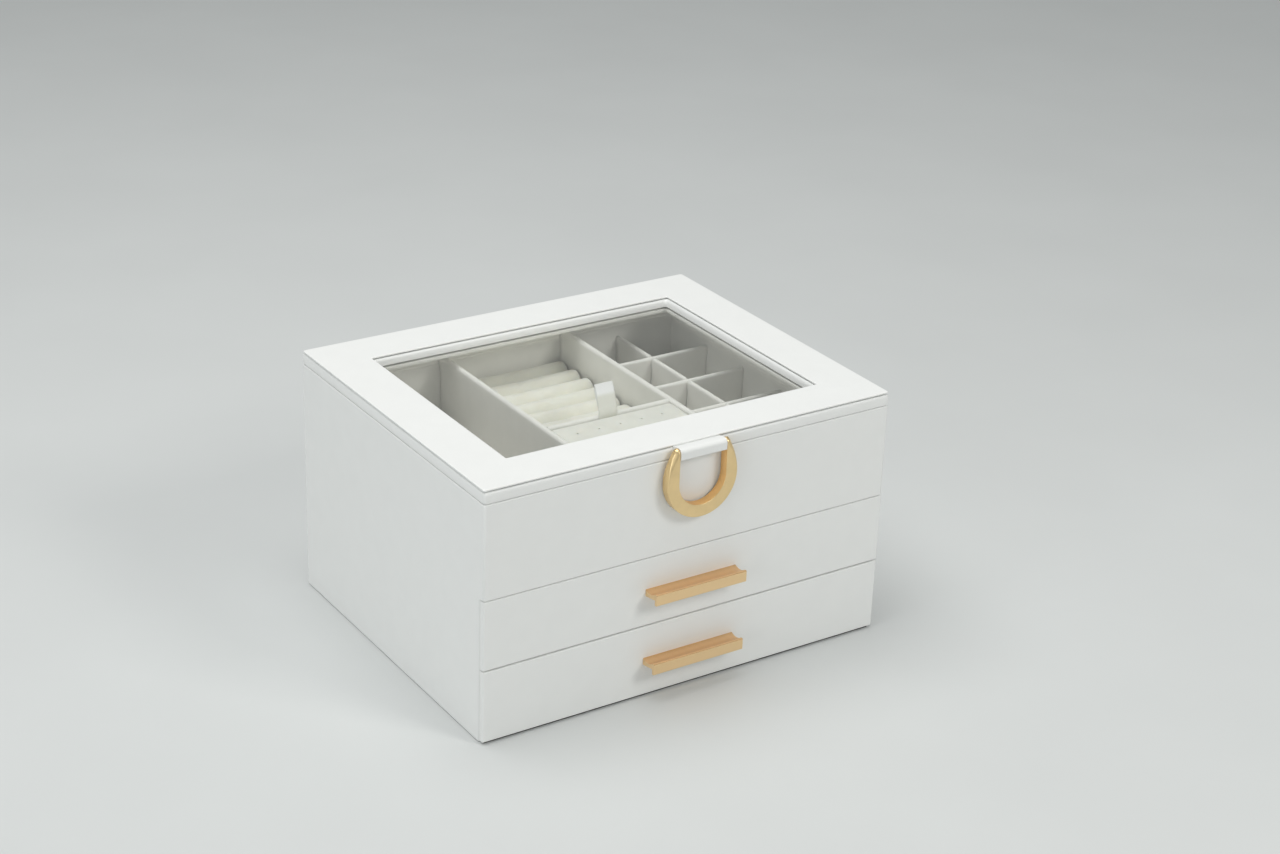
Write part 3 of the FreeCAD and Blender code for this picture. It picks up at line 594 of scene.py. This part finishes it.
ribbon_white = (0.98, 0.98, 0.97)
ribbon_painted_shade = (0.76, 0.755, 0.68)             # painted shade: greyer where it comes up past the pad
ribbon_shade_ends = (20.5 * mm, 23.5 * mm)        # along the strip, where the painted shade gives way to white
ribbon_width = 12.1 * mm
ribbon_thick = 0.3 * mm
ribbon_left = -10.6 * mm
ribbon_foot = (-24.05 * mm, 131.56 * mm)       # back and up to the top of its legs
ribbon_leg = 0.205 * mm
ribbon_tail = 8.0 * mm
ribbon_bend = 5.205 * mm
ribbon_rear_bend = 4.723 * mm
ribbon_loop = 1.325 * mm
ribbon_tip = (24.941 * mm, 7.642 * mm)
ribbon_lean = math.radians(79.5)
ribbon_under = math.radians(85.5)
ribbon_drift = 0.49                            # how far it goes right for each step back
ribbon_rise = 1.5 * mm                         # the upper layer bows up this much
ribbon_step = 0.8 * mm
ribbon_columns = 14
ribbon_cup = 0.10 * mm                         # its sides hang this much below its middle
satin_warp = 0.18 * mm
satin_weft = 1100.0                            # ribs to a metre


def arc(centre, radius, first, last, steps):
    return [(centre[0] + radius * math.cos(first + (last - first) * i / steps),
             centre[1] + radius * math.sin(first + (last - first) * i / steps))
            for i in range(steps + 1)]


def ribbon_path():
    """Back and up along the strip, from the foot of its front leg to that of its rear one."""
    front = arc((ribbon_bend - ribbon_leg, 0), ribbon_bend, math.pi,
                math.pi - ribbon_lean, 12)
    folded = arc(ribbon_tip, ribbon_loop, math.pi - ribbon_lean, -ribbon_under, 20)
    rear = arc((ribbon_rear_bend + ribbon_leg, 0), ribbon_rear_bend, math.pi - ribbon_under,
               math.pi, 10)
    runs = [(-ribbon_leg, -ribbon_tail)] + front + folded + rear + [(ribbon_leg, -ribbon_tail)]
    points = []
    for number, (first, last) in enumerate(zip(runs, runs[1:])):
        pieces = max(1, round(math.dist(first, last) / ribbon_step))
        bow = ribbon_rise if number == len(front) else 0
        points += [(first[0] + (last[0] - first[0]) * n / pieces,
                    first[1] + (last[1] - first[1]) * n / pieces
                    + bow * math.sin(math.pi * n / pieces))
                   for n in range(pieces)]
    return points + [runs[-1]]


def ribbon_sheet():
    """The folded strip, with its flat cut kept as UVs, and its length."""
    path = ribbon_path()
    length = sum(math.dist(a, b) for a, b in zip(path, path[1:]))
    form = bmesh.new()
    uv = form.loops.layers.uv.new("cut")
    grid = []
    for y, z in path:
        row = []
        for column in range(ribbon_columns + 1):
            side = 2 * column / ribbon_columns - 1
            x = ribbon_left + ribbon_width * column / ribbon_columns + ribbon_drift * y
            cup = ribbon_cup * side * side * (1 if z > 1 * mm else 0)
            row.append(form.verts.new((x, ribbon_foot[0] + y, ribbon_foot[1] + z - cup)))
        grid.append(row)
    for step in range(len(path) - 1):
        for column in range(ribbon_columns):
            face = form.faces.new((grid[step][column], grid[step][column + 1],
                                   grid[step + 1][column + 1], grid[step + 1][column]))
            face.smooth = True
            for loop, (c, r) in zip(face.loops, ((0, 0), (1, 0), (1, 1), (0, 1))):
                loop[uv].uv = ((column + c) / ribbon_columns * ribbon_width,
                               (step + r) / (len(path) - 1) * length)
    return made_piece(form, "satin_ribbon"), length


def satin():
    """Fine warp lines along the strip, over the ribs of its weft, and painted shade greying its
    lower part.
    """
    material, tree, shader, place = new_material("white_satin")
    cut = add(tree, "ShaderNodeTexCoord").outputs["UV"]
    along = add(tree, "ShaderNodeSeparateXYZ", {"Vector": cut}).outputs["Y"]
    warp = grain(tree, cut, satin_warp, detail=2, stretch=(1, 0.02, 1))
    threads = between(tree, warp, shade(ribbon_white, 0.95), ribbon_white)
    weft = add(tree, "ShaderNodeTexWave", {
        "Vector": cut, "Scale": satin_weft, "Distortion": 0.6},
        bands_direction="Y").outputs["Fac"]
    ribs = bumped(tree, weft, 0.03 * mm, 0.5)
    feed(tree, shader, {
        # painted shade greys the strip where it comes up past the pad
        "Base Color": between(tree, along, ribbon_painted_shade, threads, of=ribbon_shade_ends),
        "Roughness": ranged(tree, warp, 0.3, 0.42),
        "Normal": bumped(tree, warp, 0.03 * mm, 0.5, under=ribs),
        "Sheen Weight": 0.2,
        "Anisotropic": 0.5})
    return material


ribbon, ribbon_length = ribbon_sheet()
thickness = ribbon.modifiers.new("thickness", "SOLIDIFY")
thickness.thickness = ribbon_thick
thickness.offset = 0
stand_for(ribbon, "ribbon_pull", satin(), "case")


# ---------------------------------------------------------------- drawers
# Each drawer is a box of boards lined in the tray's suede, behind a board front
# wrapped in leatherette. The boards' own faces stay bare outside.

front_edge = 0.6 * mm

for drawer in ("upper_drawer", "lower_drawer"):
    soften(finish_node(f"{drawer}_front_board", white_leather), front_edge)
    finish_node(f"{drawer}_lining", grey_suede)
    for board in ("side_walls", "end_walls", "bottom"):
        finish_node(f"{drawer}_{board}", raw_board)


# ---------------------------------------------------------------- finger pulls
# Extruded bars of pale gold metal, cut to length and screwed on from inside the
# drawer. Drawing leaves fine lines along them, under a satin finish.

# painted reflection and shade, set by how far a face looks up: upright faces first, tops last
pull_painted_tones = ((0.02, (0.90, 0.66, 0.38)), (0.2, (0.46, 0.255, 0.11)),
              (0.75, (0.58, 0.34, 0.165)), (0.98, (0.86, 0.58, 0.32)))
pull_lines = 0.12 * mm


def drawn_gold():
    """Colour set by how far a face looks up, as painted reflection and shade: darkest on steep
    slopes, light on upright faces and flat tops.
    """
    material, tree, shader, place = new_material("drawn_gold")
    lines = grain(tree, place, pull_lines, detail=2, stretch=(0.01, 1, 1))
    facing = add(tree, "ShaderNodeNewGeometry").outputs["Normal"]
    upward = add(tree, "ShaderNodeSeparateXYZ", {"Vector": facing}).outputs["Z"]
    # painted reflection and shade: the colour follows how far each face looks up
    painted_ramp = add(tree, "ShaderNodeValToRGB", {"Fac": upward})
    ramp = painted_ramp.color_ramp
    while len(ramp.elements) < len(pull_painted_tones):
        ramp.elements.new(0.5)
    for element, (at, tone) in zip(ramp.elements, pull_painted_tones):
        element.position = at
    for element, (at, tone) in zip(ramp.elements, pull_painted_tones):
        element.color = (*tone, 1)
    feed(tree, shader, {
        "Base Color": painted_ramp.outputs["Color"],
        "Roughness": ranged(tree, lines, 0.34, 0.44),
        "Normal": bumped(tree, lines, 0.01 * mm, 0.4),
        "Metallic": 1.0})
    return material


pull_gold = drawn_gold()
for drawer in ("upper_drawer", "lower_drawer"):
    finish_node(f"{drawer}_pull", pull_gold)


# ---------------------------------------------------------------- hinges
# Two brass butt hinges, let in flush over the back board and screwed down, each with
# a steel pin. The lid's leaf carries a tail that stops the lid just past upright.

brass = (0.72, 0.52, 0.27)
steel = (0.55, 0.55, 0.56)
metal_marks = 0.6 * mm
hinge_middles = (("left", -80 * mm), ("right", 80 * mm))
case_leaf_top, lid_leaf_low = 141.7 * mm, 141.9 * mm
screw_apart = 8 * mm                       # each screw is this far from its hinge's middle
screw_line = 102 * mm
screw_radius = 1.35 * mm
screw_rise = 0.05 * mm
screw_cross = (0.2 * mm, 0.75 * mm)        # half width and half length of its slots
screw_cross_floor = 0.012 * mm
screw_cells = 13                           # mesh cells from its middle to its edge


def hinge_metal(name, colour, roughness):
    material, tree, shader, place = new_material(name)
    marks = grain(tree, place, metal_marks, detail=6)
    feed(tree, shader, {
        "Base Color": between(tree, marks, shade(colour, 0.9), colour),
        "Roughness": ranged(tree, marks, roughness, roughness + 0.12),
        "Metallic": 1.0})
    return material


def screw_heads(name, places, z, upward):
    """Countersunk heads with crossed slots, standing just proud of the leaf."""
    form = bmesh.new()
    cells = range(-screw_cells, screw_cells + 1)
    for number, (x, y) in enumerate(places):
        turn = random.Random(number + len(name)).uniform(0, math.pi)
        grid = {}
        for i in cells:
            for j in cells:
                across, along = i / screw_cells, j / screw_cells
                reach = max(abs(across), abs(along))
                far = math.hypot(across, along)
                flat = (across * reach / far, along * reach / far) if far else (0, 0)
                u, v = flat[0] * screw_radius, flat[1] * screw_radius
                slotted = any(abs(a) < screw_cross[0] and abs(b) < screw_cross[1]
                              for a, b in ((u, v), (v, u)))
                rise = screw_cross_floor if slotted else screw_rise * (1 - reach ** 6)
                grid[i, j] = form.verts.new((
                    x + u * math.cos(turn) - v * math.sin(turn),
                    y + u * math.sin(turn) + v * math.cos(turn), z + upward * rise))
        for i in cells[:-1]:
            for j in cells[:-1]:
                form.faces.new((grid[i, j], grid[i + 1, j],
                                grid[i + 1, j + 1], grid[i, j + 1]))
    piece = made_piece(form, name)
    if upward < 0:
        piece.data.flip_normals()
    piece.data.materials.append(pin_steel)
    return piece


hinge_brass = hinge_metal("hinge_brass", brass, 0.3)
pin_steel = hinge_metal("pin_steel", steel, 0.25)
for side, middle_x in hinge_middles:
    finish_node(f"case_hinge_leaf_{side}", hinge_brass)
    finish_node(f"lid_hinge_leaf_{side}", hinge_brass)
    finish_node(f"hinge_pin_{side}", pin_steel)
    places = [(middle_x - screw_apart, screw_line), (middle_x + screw_apart, screw_line)]
    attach(screw_heads(f"case_screws_{side}", places, case_leaf_top, 1), "case")
    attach(screw_heads(f"lid_screws_{side}", places, lid_leaf_low, -1), "lid")


# ---------------------------------------------------------------- lid
# A wrapped rim with a thin wrapped cover board glued on top, a tight groove between
# the two. The glass lies in a rebate under the rim's bead, on a suede-covered frame.

half_width, half_depth = 130 * mm, 105 * mm
cover_low, lid_top = 148.8 * mm, 150 * mm
cover_fold = 0.8 * mm                  # rounding of the cover's folded edges
cover_back = (0.15 * mm, 0.8 * mm)     # the cover stops this far inside the rim
cover_corner, window_corner = 1.2 * mm, 0.3 * mm
window = (100.5 * mm, 76 * mm)
rim_corner, bead_corner = 1.5 * mm, 2.6 * mm
rim_uneven = 0.14 * mm
bead_narrow = 0.5                      # millimetres that the bead is further in at the sides
frame_lump = 14 * mm                   # the length of the unevenness in a wrapped frame
# inset from the lid's front and height, in millimetres
rim_outside = [(0.8, 141.9), (0.35, 142.05), (0.1, 142.4), (0.0, 143.0), (0.0, 144.2),
               (0.03, 145.4), (0.08, 146.4), (0.18, 147.1), (0.4, 147.75), (0.75, 148.15),
               (1.2, 148.32), (1.7, 148.3), (2.1, 148.15), (2.4, 147.8), (2.9, 147.8),
               (3.1, 148.79), (3.8, 148.8)]
bead_round = [(26.0, 148.8), (26.6, 148.79), (26.9, 148.0), (27.5, 147.9), (28.0, 148.3),
              (28.7, 148.42), (29.3, 148.2), (29.8, 147.7), (30.1, 146.9), (30.2, 145.9),
              (30.22, 144.8), (30.2, 144.0), (30.1, 143.9), (29.1, 143.9), (28.6, 143.9),
              (25.0, 143.9), (25.0, 141.9)]
strap_recess = ((-14.9 * mm, -115 * mm, 145.9 * mm), (14.9 * mm, -94.9 * mm, 149.5 * mm))
leaf_recess_half = 12.1 * mm
leaf_recess = ((98.9 * mm, 141.5 * mm), (106 * mm, 142.7 * mm))        # back and up
plinth_corner = 0.6 * mm
# half width, half depth and height, in millimetres
plinth_outside = [(103.5, 79.0, 138.9), (117.0, 95.0, 138.9), (117.5, 95.5, 139.1),
                  (117.7, 95.7, 139.6), (117.7, 95.7, 141.9), (104.2, 79.7, 141.9)]
plinth_lip = [(104.0, 79.5, 142.85), (99.3, 74.8, 142.85), (98.9, 74.4, 142.75),
              (98.7, 74.2, 142.5), (98.7, 74.2, 141.2), (98.9, 74.4, 140.95),
              (99.3, 74.8, 140.9), (103.2, 78.7, 140.9), (103.2, 78.7, 139.2)]
# A pane lets what lies under it show nearer than it is, so this one is half as thick.
pane_edge = [(103.9, 79.4, 142.9), (104.1, 79.6, 143.1), (104.1, 79.6, 143.7),
             (103.9, 79.4, 143.9)]
pane_corner = 2 * mm
glass_tint = (0.985, 0.989, 0.984)
side_steps, corner_steps = 36, 6


def frame_row(half_x, half_y, z, radius):
    """Points round a rectangle with rounded corners, its sides divided evenly."""
    row = []
    for corner, (side_x, side_y) in enumerate(((1, 1), (-1, 1), (-1, -1), (1, -1))):
        centre = (side_x * (half_x - radius), side_y * (half_y - radius))
        row += [(*point, z) for point in
                arc(centre, radius, corner * math.pi / 2, (corner + 1) * math.pi / 2,
                    corner_steps)]
    points = []
    for number, (here, following) in enumerate(zip(row, row[1:] + row[:1])):
        last_of_corner = number % (corner_steps + 1) == corner_steps
        pieces = side_steps if last_of_corner else 1
        points += [tuple(here[i] + (following[i] - here[i]) * n / pieces for i in range(3))
                   for n in range(pieces)]
    return points


def swept_frame(name, section, uneven=0.0):
    """A frame whose section, given as half sizes, height and corner radius, runs round it."""
    form = bmesh.new()
    rows = []
    for half_x, half_y, z, radius in section:
        row = []
        for point in frame_row(half_x, half_y, z, radius):
            spot = Vector(point)
            lump = 0.5 + 0.5 * noise.noise(spot / frame_lump)
            inward = Vector((-spot.x, -spot.y, 0)).normalized()
            row.append(form.verts.new(spot + inward * lump * uneven))
        rows.append(row)
    for n, face in join_loops(form, rows + rows[:1]):
        face.smooth = True
    bmesh.ops.recalc_face_normals(form, faces=form.faces)
    return made_piece(form, name)


def folded_section(outer, inner, outer_radius, inner_radius):
    """The cover's section: its folded edges rounded outside and inside, tighter below."""
    above = [(0, 0.45), (0.08, 0.26), (0.3, 0.08), (0.65, 0.01), (1.0, 0), (1.6, 0)]
    below = [(0.5, 0), (0.1, 0.12)]
    thick = lid_top - cover_low
    section = []
    for start, sign, radius in ((outer, -1, outer_radius), (inner, 1, inner_radius)):
        heights = ([(across, cover_low + up * thick) for across, up in below]
                   + [(across, lid_top - down * thick) for across, down in above])
        edge = [(start[0] + sign * across * cover_fold, start[1] + sign * across * cover_fold,
                 z, radius) for across, z in heights]
        section += edge if sign < 0 else edge[::-1]
    return section


def finish_frame(piece, node, material):
    even = piece.modifiers.new("even", "WEIGHTED_NORMAL")
    even.keep_sharp = True
    stand_for(piece, node, material, "lid")


cover = swept_frame("lid_cover", folded_section(
    (half_width - cover_back[0], half_depth - cover_back[1]), window,
    cover_corner, window_corner))
finish_frame(cover, "lid_cover_frame", white_leather)

rim = swept_frame("lid_rim", [
    (half_width - inset * mm, half_depth - inset * mm, z * mm, rim_corner)
    for inset, z in rim_outside] + [
    (half_width - (inset + bead_narrow) * mm, half_depth - inset * mm, z * mm, bead_corner)
    for inset, z in bead_round], uneven=rim_uneven)
cut_boxes(rim, [strap_recess] + [
    ((x - leaf_recess_half, *leaf_recess[0]), (x + leaf_recess_half, *leaf_recess[1]))
    for side, x in hinge_middles])
finish_frame(rim, "lid_rim_frame", white_leather)

plinth = swept_frame("lid_plinth", [
    (half_x * mm, half_y * mm, z * mm, plinth_corner)
    for half_x, half_y, z in plinth_outside + plinth_lip])
finish_frame(plinth, "lid_plinth_frame", grey_suede)


def clear_glass():
    """A thin pane: what lies under it shows straight through, and it mirrors the room."""
    material, tree, shader, place = new_material("clear_glass")
    tree.nodes.remove(shader)
    through = add(tree, "ShaderNodeBsdfTransparent", {"Color": (*glass_tint, 1)})
    mirror = add(tree, "ShaderNodeBsdfGlossy", {"Roughness": 0.01})
    slant = add(tree, "ShaderNodeLayerWeight", {"Blend": 0.5}).outputs["Facing"]
    steep = add(tree, "ShaderNodeMath", {0: slant, 1: 5.0}, operation="POWER")
    mirrored = ranged(tree, steep.outputs["Value"], 0.04, 1.0, of=(0.0, 1.0))
    mixed = add(tree, "ShaderNodeMixShader", {
        "Fac": mirrored, 1: through.outputs["BSDF"], 2: mirror.outputs["BSDF"]})
    feed(tree, tree.nodes["Material Output"], {"Surface": mixed.outputs["Shader"]})
    return material


form = bmesh.new()
rows = [[form.verts.new(point) for point in
         frame_row(half_x * mm, half_y * mm, z * mm, pane_corner)]
        for half_x, half_y, z in pane_edge]
join_loops(form, rows)
form.faces.new(rows[0][::-1])
form.faces.new(rows[-1])
bmesh.ops.recalc_face_normals(form, faces=form.faces)
stand_for(made_piece(form, "glass_sheet"), "glass_pane", clear_glass(), "lid")


# ---------------------------------------------------------------- handle
# A cast horseshoe ring in satin gold swings on a bar of the same gold through its
# ears. A doubled strip of leatherette comes out from under the cover and holds it.

ring_tone = (0.92, 0.70, 0.38)
ring_inside_reflection = (0.97, 0.62, 0.27)             # painted reflection: redder, for the gold arms mirrored in the inner wall
ring_axis = (-109 * mm, 146.5 * mm)          # the bar, back and up
ring_middle_z = 129.5 * mm
ring_inner = 15.1 * mm
ring_outer = 22.2 * mm
ring_shoulder = 40 * mm                      # the radius of the arms' outer sides
ring_half_depth = 3 * mm
ring_tip = 0.15 * mm                         # half the depth of an ear's tip
ring_crown = 0.15 * mm                       # the face is domed this much
ring_edge = 0.22 * mm
ring_ground = 1.6 * mm                       # what is ground off the ears' outer corners
ground_reach, ground_slope = 1.5, 0.75
ear_trim = 0.02 * mm                         # kept off the top of the ears
arm_steps, bend_steps, face_steps = 24, 48, 8


def cast_gold(name, tone):
    """Cast, buffed and plated, then given a satin lacquer: soft, slightly uneven shine."""
    material, tree, shader, place = new_material(name)
    buffed = grain(tree, place, 0.6 * mm, detail=5)
    swells = grain(tree, place, 6 * mm, detail=2)
    waves = bumped(tree, swells, 0.1 * mm, 0.3)
    feed(tree, shader, {
        "Base Color": between(tree, swells, shade(tone, 0.93), tone),
        "Roughness": ranged(tree, buffed, 0.33, 0.42),
        "Normal": bumped(tree, buffed, 0.01 * mm, 0.3, under=waves),
        "Metallic": 1.0})
    return material


def ring_stations():
    """Inner and outer points from the left ear, round the bottom, to the right ear."""
    ear_top = ring_axis[1] + ring_half_depth
    arm = []
    for step in range(arm_steps + 1):
        up = math.sin(math.pi / 2 * step / arm_steps) * (ear_top - ring_middle_z - ear_trim)
        out = ring_outer - ring_shoulder + math.sqrt(ring_shoulder ** 2 - up ** 2)
        arm.append(((ring_inner, ring_middle_z + up), (out, ring_middle_z + up)))
    left = [((-i[0], i[1]), (-o[0], o[1])) for i, o in reversed(arm)]
    bend = []
    for step in range(1, bend_steps):
        turn = math.pi + math.pi * step / bend_steps
        bend.append(tuple(
            (radius * math.cos(turn), ring_middle_z + radius * math.sin(turn))
            for radius in (ring_inner, ring_outer)))
    return left + bend + arm


def ring_section(width, half_depth, chamfer):
    """Across from the inner side, and forward from the middle: a domed, soft-edged bar.

    Towards the ears its outer front corner is ground away by the chamfer.
    """
    edge = min(ring_edge, width * 0.3, half_depth * 0.45)
    crown = min(ring_crown, half_depth * 0.3)
    front = []
    for step in range(face_steps + 1):
        share = step / face_steps
        across = edge + (width - 2 * edge) * share
        front.append((across, half_depth - crown * (2 * share - 1) ** 2))
    shoulder = half_depth - crown
    corner = [(edge * (1 - math.sin(turn)), shoulder - edge * (1 - math.cos(turn)))
              for turn in (math.pi / 2, math.pi / 3, math.pi / 6)]
    half = corner + front + [(width - across, forward) for across, forward in reversed(corner)]
    ground = width - chamfer * ground_reach
    half = [(across, forward - max(0.0, across - ground) * ground_slope)
            for across, forward in half]
    return half + [(across, -forward) for across, forward in reversed(half)]


form = bmesh.new()
rows = []
for inner_point, outer_point in ring_stations():
    height = max(0.0, inner_point[1] - ring_axis[1])
    half_depth = math.sqrt(max(ring_half_depth ** 2 - height ** 2, ring_tip ** 2))
    width = math.dist(inner_point, outer_point)
    above = (inner_point[1] - ring_middle_z) / (ring_axis[1] - ring_middle_z)
    chamfer = min(ring_ground, width * 0.45) * max(0.0, min(1.0, above)) ** 1.5
    row = []
    for across, forward in ring_section(width, half_depth, chamfer):
        share = across / width
        row.append(form.verts.new((
            inner_point[0] + (outer_point[0] - inner_point[0]) * share,
            ring_axis[0] - forward,
            inner_point[1] + (outer_point[1] - inner_point[1]) * share)))
    rows.append(row)
for n, face in join_loops(form, rows):
    face.smooth = True
    face.material_index = 1 if n == len(rows[0]) - 1 else 0        # the last is its inner wall
close_bar(form, rows)
ring = made_piece(form, "ring_handle")
ring_gold = cast_gold("cast_gold", ring_tone)
stand_for(ring, "horseshoe_ring", ring_gold, "handle")
# The inner wall takes a second, redder gold: a painted reflection of the arms.
ring.data.materials.append(cast_gold("cast_gold_inside_reflection", ring_inside_reflection))
finish_node("handle_bar", ring_gold)

tab_half = 14.8 * mm
tab_front, tab_low, tab_high = -112.2 * mm, 143.3 * mm, 149.65 * mm
tab_low_round, tab_top_round = 0.7 * mm, 2.4 * mm
# back and up, in millimetres: out from under the cover, and back in under it
tab_over = [(-95, 148.78), (-104.6, 148.78), (-105.8, 149.3), (-107, 149.6)]
tab_under = [(-107.6, 143.3), (-105.9, 143.9), (-105.05, 145.2), (-104.6, 146.0), (-95, 146.0)]
tab_loop = -108 * mm                         # in front of this it is the loop
tab_waist = 145 * mm                         # above this the loop is fuller in the middle
tab_plump = 0.12 * mm
tab_steps = 30
tab_crease = 0.22 * mm
tunnel_room = 0.05 * mm                      # round the bar, inside the loop
tunnel_sides = 32

tab_section = ([(y * mm, z * mm) for y, z in tab_over]
               + arc((tab_front + tab_top_round, tab_high - tab_top_round), tab_top_round,
                     math.pi / 2, math.pi, 8)
               + arc((tab_front + tab_low_round, tab_low + tab_low_round), tab_low_round,
                     math.pi, 1.5 * math.pi, 5)
               + [(y * mm, z * mm) for y, z in tab_under])
form = bmesh.new()
rows = []
for step in range(tab_steps + 1):
    side = 2 * step / tab_steps - 1
    plump = tab_plump * (1 - side ** 6)
    row = []
    for y, z in tab_section:
        if y < tab_loop:
            y += tab_plump - (plump if z > tab_waist else 0)
        row.append(form.verts.new((tab_half * side, y, z)))
    rows.append(row)
join_loops(form, rows)
close_bar(form, rows)
tab = made_piece(form, "strap_tab")
soften(tab, tab_crease)
keep_modified(tab)
bar_low, bar_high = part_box("handle_bar")
bore = bmesh.new()
add_rod(bore, (bar_high[2] - bar_low[2]) / 2 + tunnel_room, tab_half * 3, tunnel_sides,
        Matrix.Translation((0, *ring_axis)) @ Matrix.Rotation(math.pi / 2, 4, "Y"))
cut_away(tab, made_piece(bore, "tunnel"))
stand_for(tab, "handle_tab", white_leather, "lid")


# ---------------------------------------------------------------- studio
# A plain pale floor under soft light: a small lamp in front to the right, a wide
# one overhead, a cool one low on the left, and an even pale room.

floor_pale = (0.66, 0.675, 0.67)
floor_mottle = 0.15
half_floor = 6.0
lamp_aim = (0, 0, 0.1)
# place, size, watts and colour
lamps = (("key", (0.67, -1.46, 1.26), (0.55, 0.55), 9.5, (1.0, 0.985, 0.95)),
         ("overhead", (-0.3, 0.15, 1.6), (1.2, 1.2), 14.8, (1.0, 1.0, 0.99)),
         ("fill", (-2.4, -0.9, 0.6), (1.6, 0.9), 12, (0.96, 0.985, 1.0)))
room_tone, room_strength = (0.84, 0.87, 0.87), 0.45


def floor_paint():
    material, tree, shader, place = new_material("floor")
    mottle = grain(tree, place, floor_mottle, detail=4)
    feed(tree, shader, {
        "Base Color": between(tree, mottle, shade(floor_pale, 0.97), floor_pale),
        "Roughness": 0.8})
    return material


def soft_light(name, place, size, power, colour):
    lamp = bpy.data.lights.new(name, "AREA")
    lamp.shape = "RECTANGLE"
    lamp.size, lamp.size_y = size
    lamp.energy = power
    lamp.color = colour
    light = bpy.data.objects.new(name, lamp)
    light.location = place
    light.rotation_mode = "QUATERNION"
    light.rotation_quaternion = (Vector(lamp_aim) - Vector(place)).to_track_quat("-Z", "Y")
    bpy.context.scene.collection.objects.link(light)


form = bmesh.new()
form.faces.new([form.verts.new((x * half_floor, y * half_floor, 0))
                for x, y in ((-1, -1), (1, -1), (1, 1), (-1, 1))])
floor = made_piece(form, "floor")
floor.data.materials.append(floor_paint())
for lamp in lamps:
    soft_light(*lamp)

room = bpy.data.worlds.new("room")
room.use_nodes = True
feed(room.node_tree, room.node_tree.nodes["Background"], {
    "Color": (*room_tone, 1), "Strength": room_strength})
bpy.context.scene.world = room
bpy.context.scene.view_settings.view_transform = "Standard"


# ---------------------------------------------------------------- scene update
# The box's pieces made here are tied to the bodies that carry them where they are made; the
# scene is brought up to date.

bpy.context.view_layer.update()
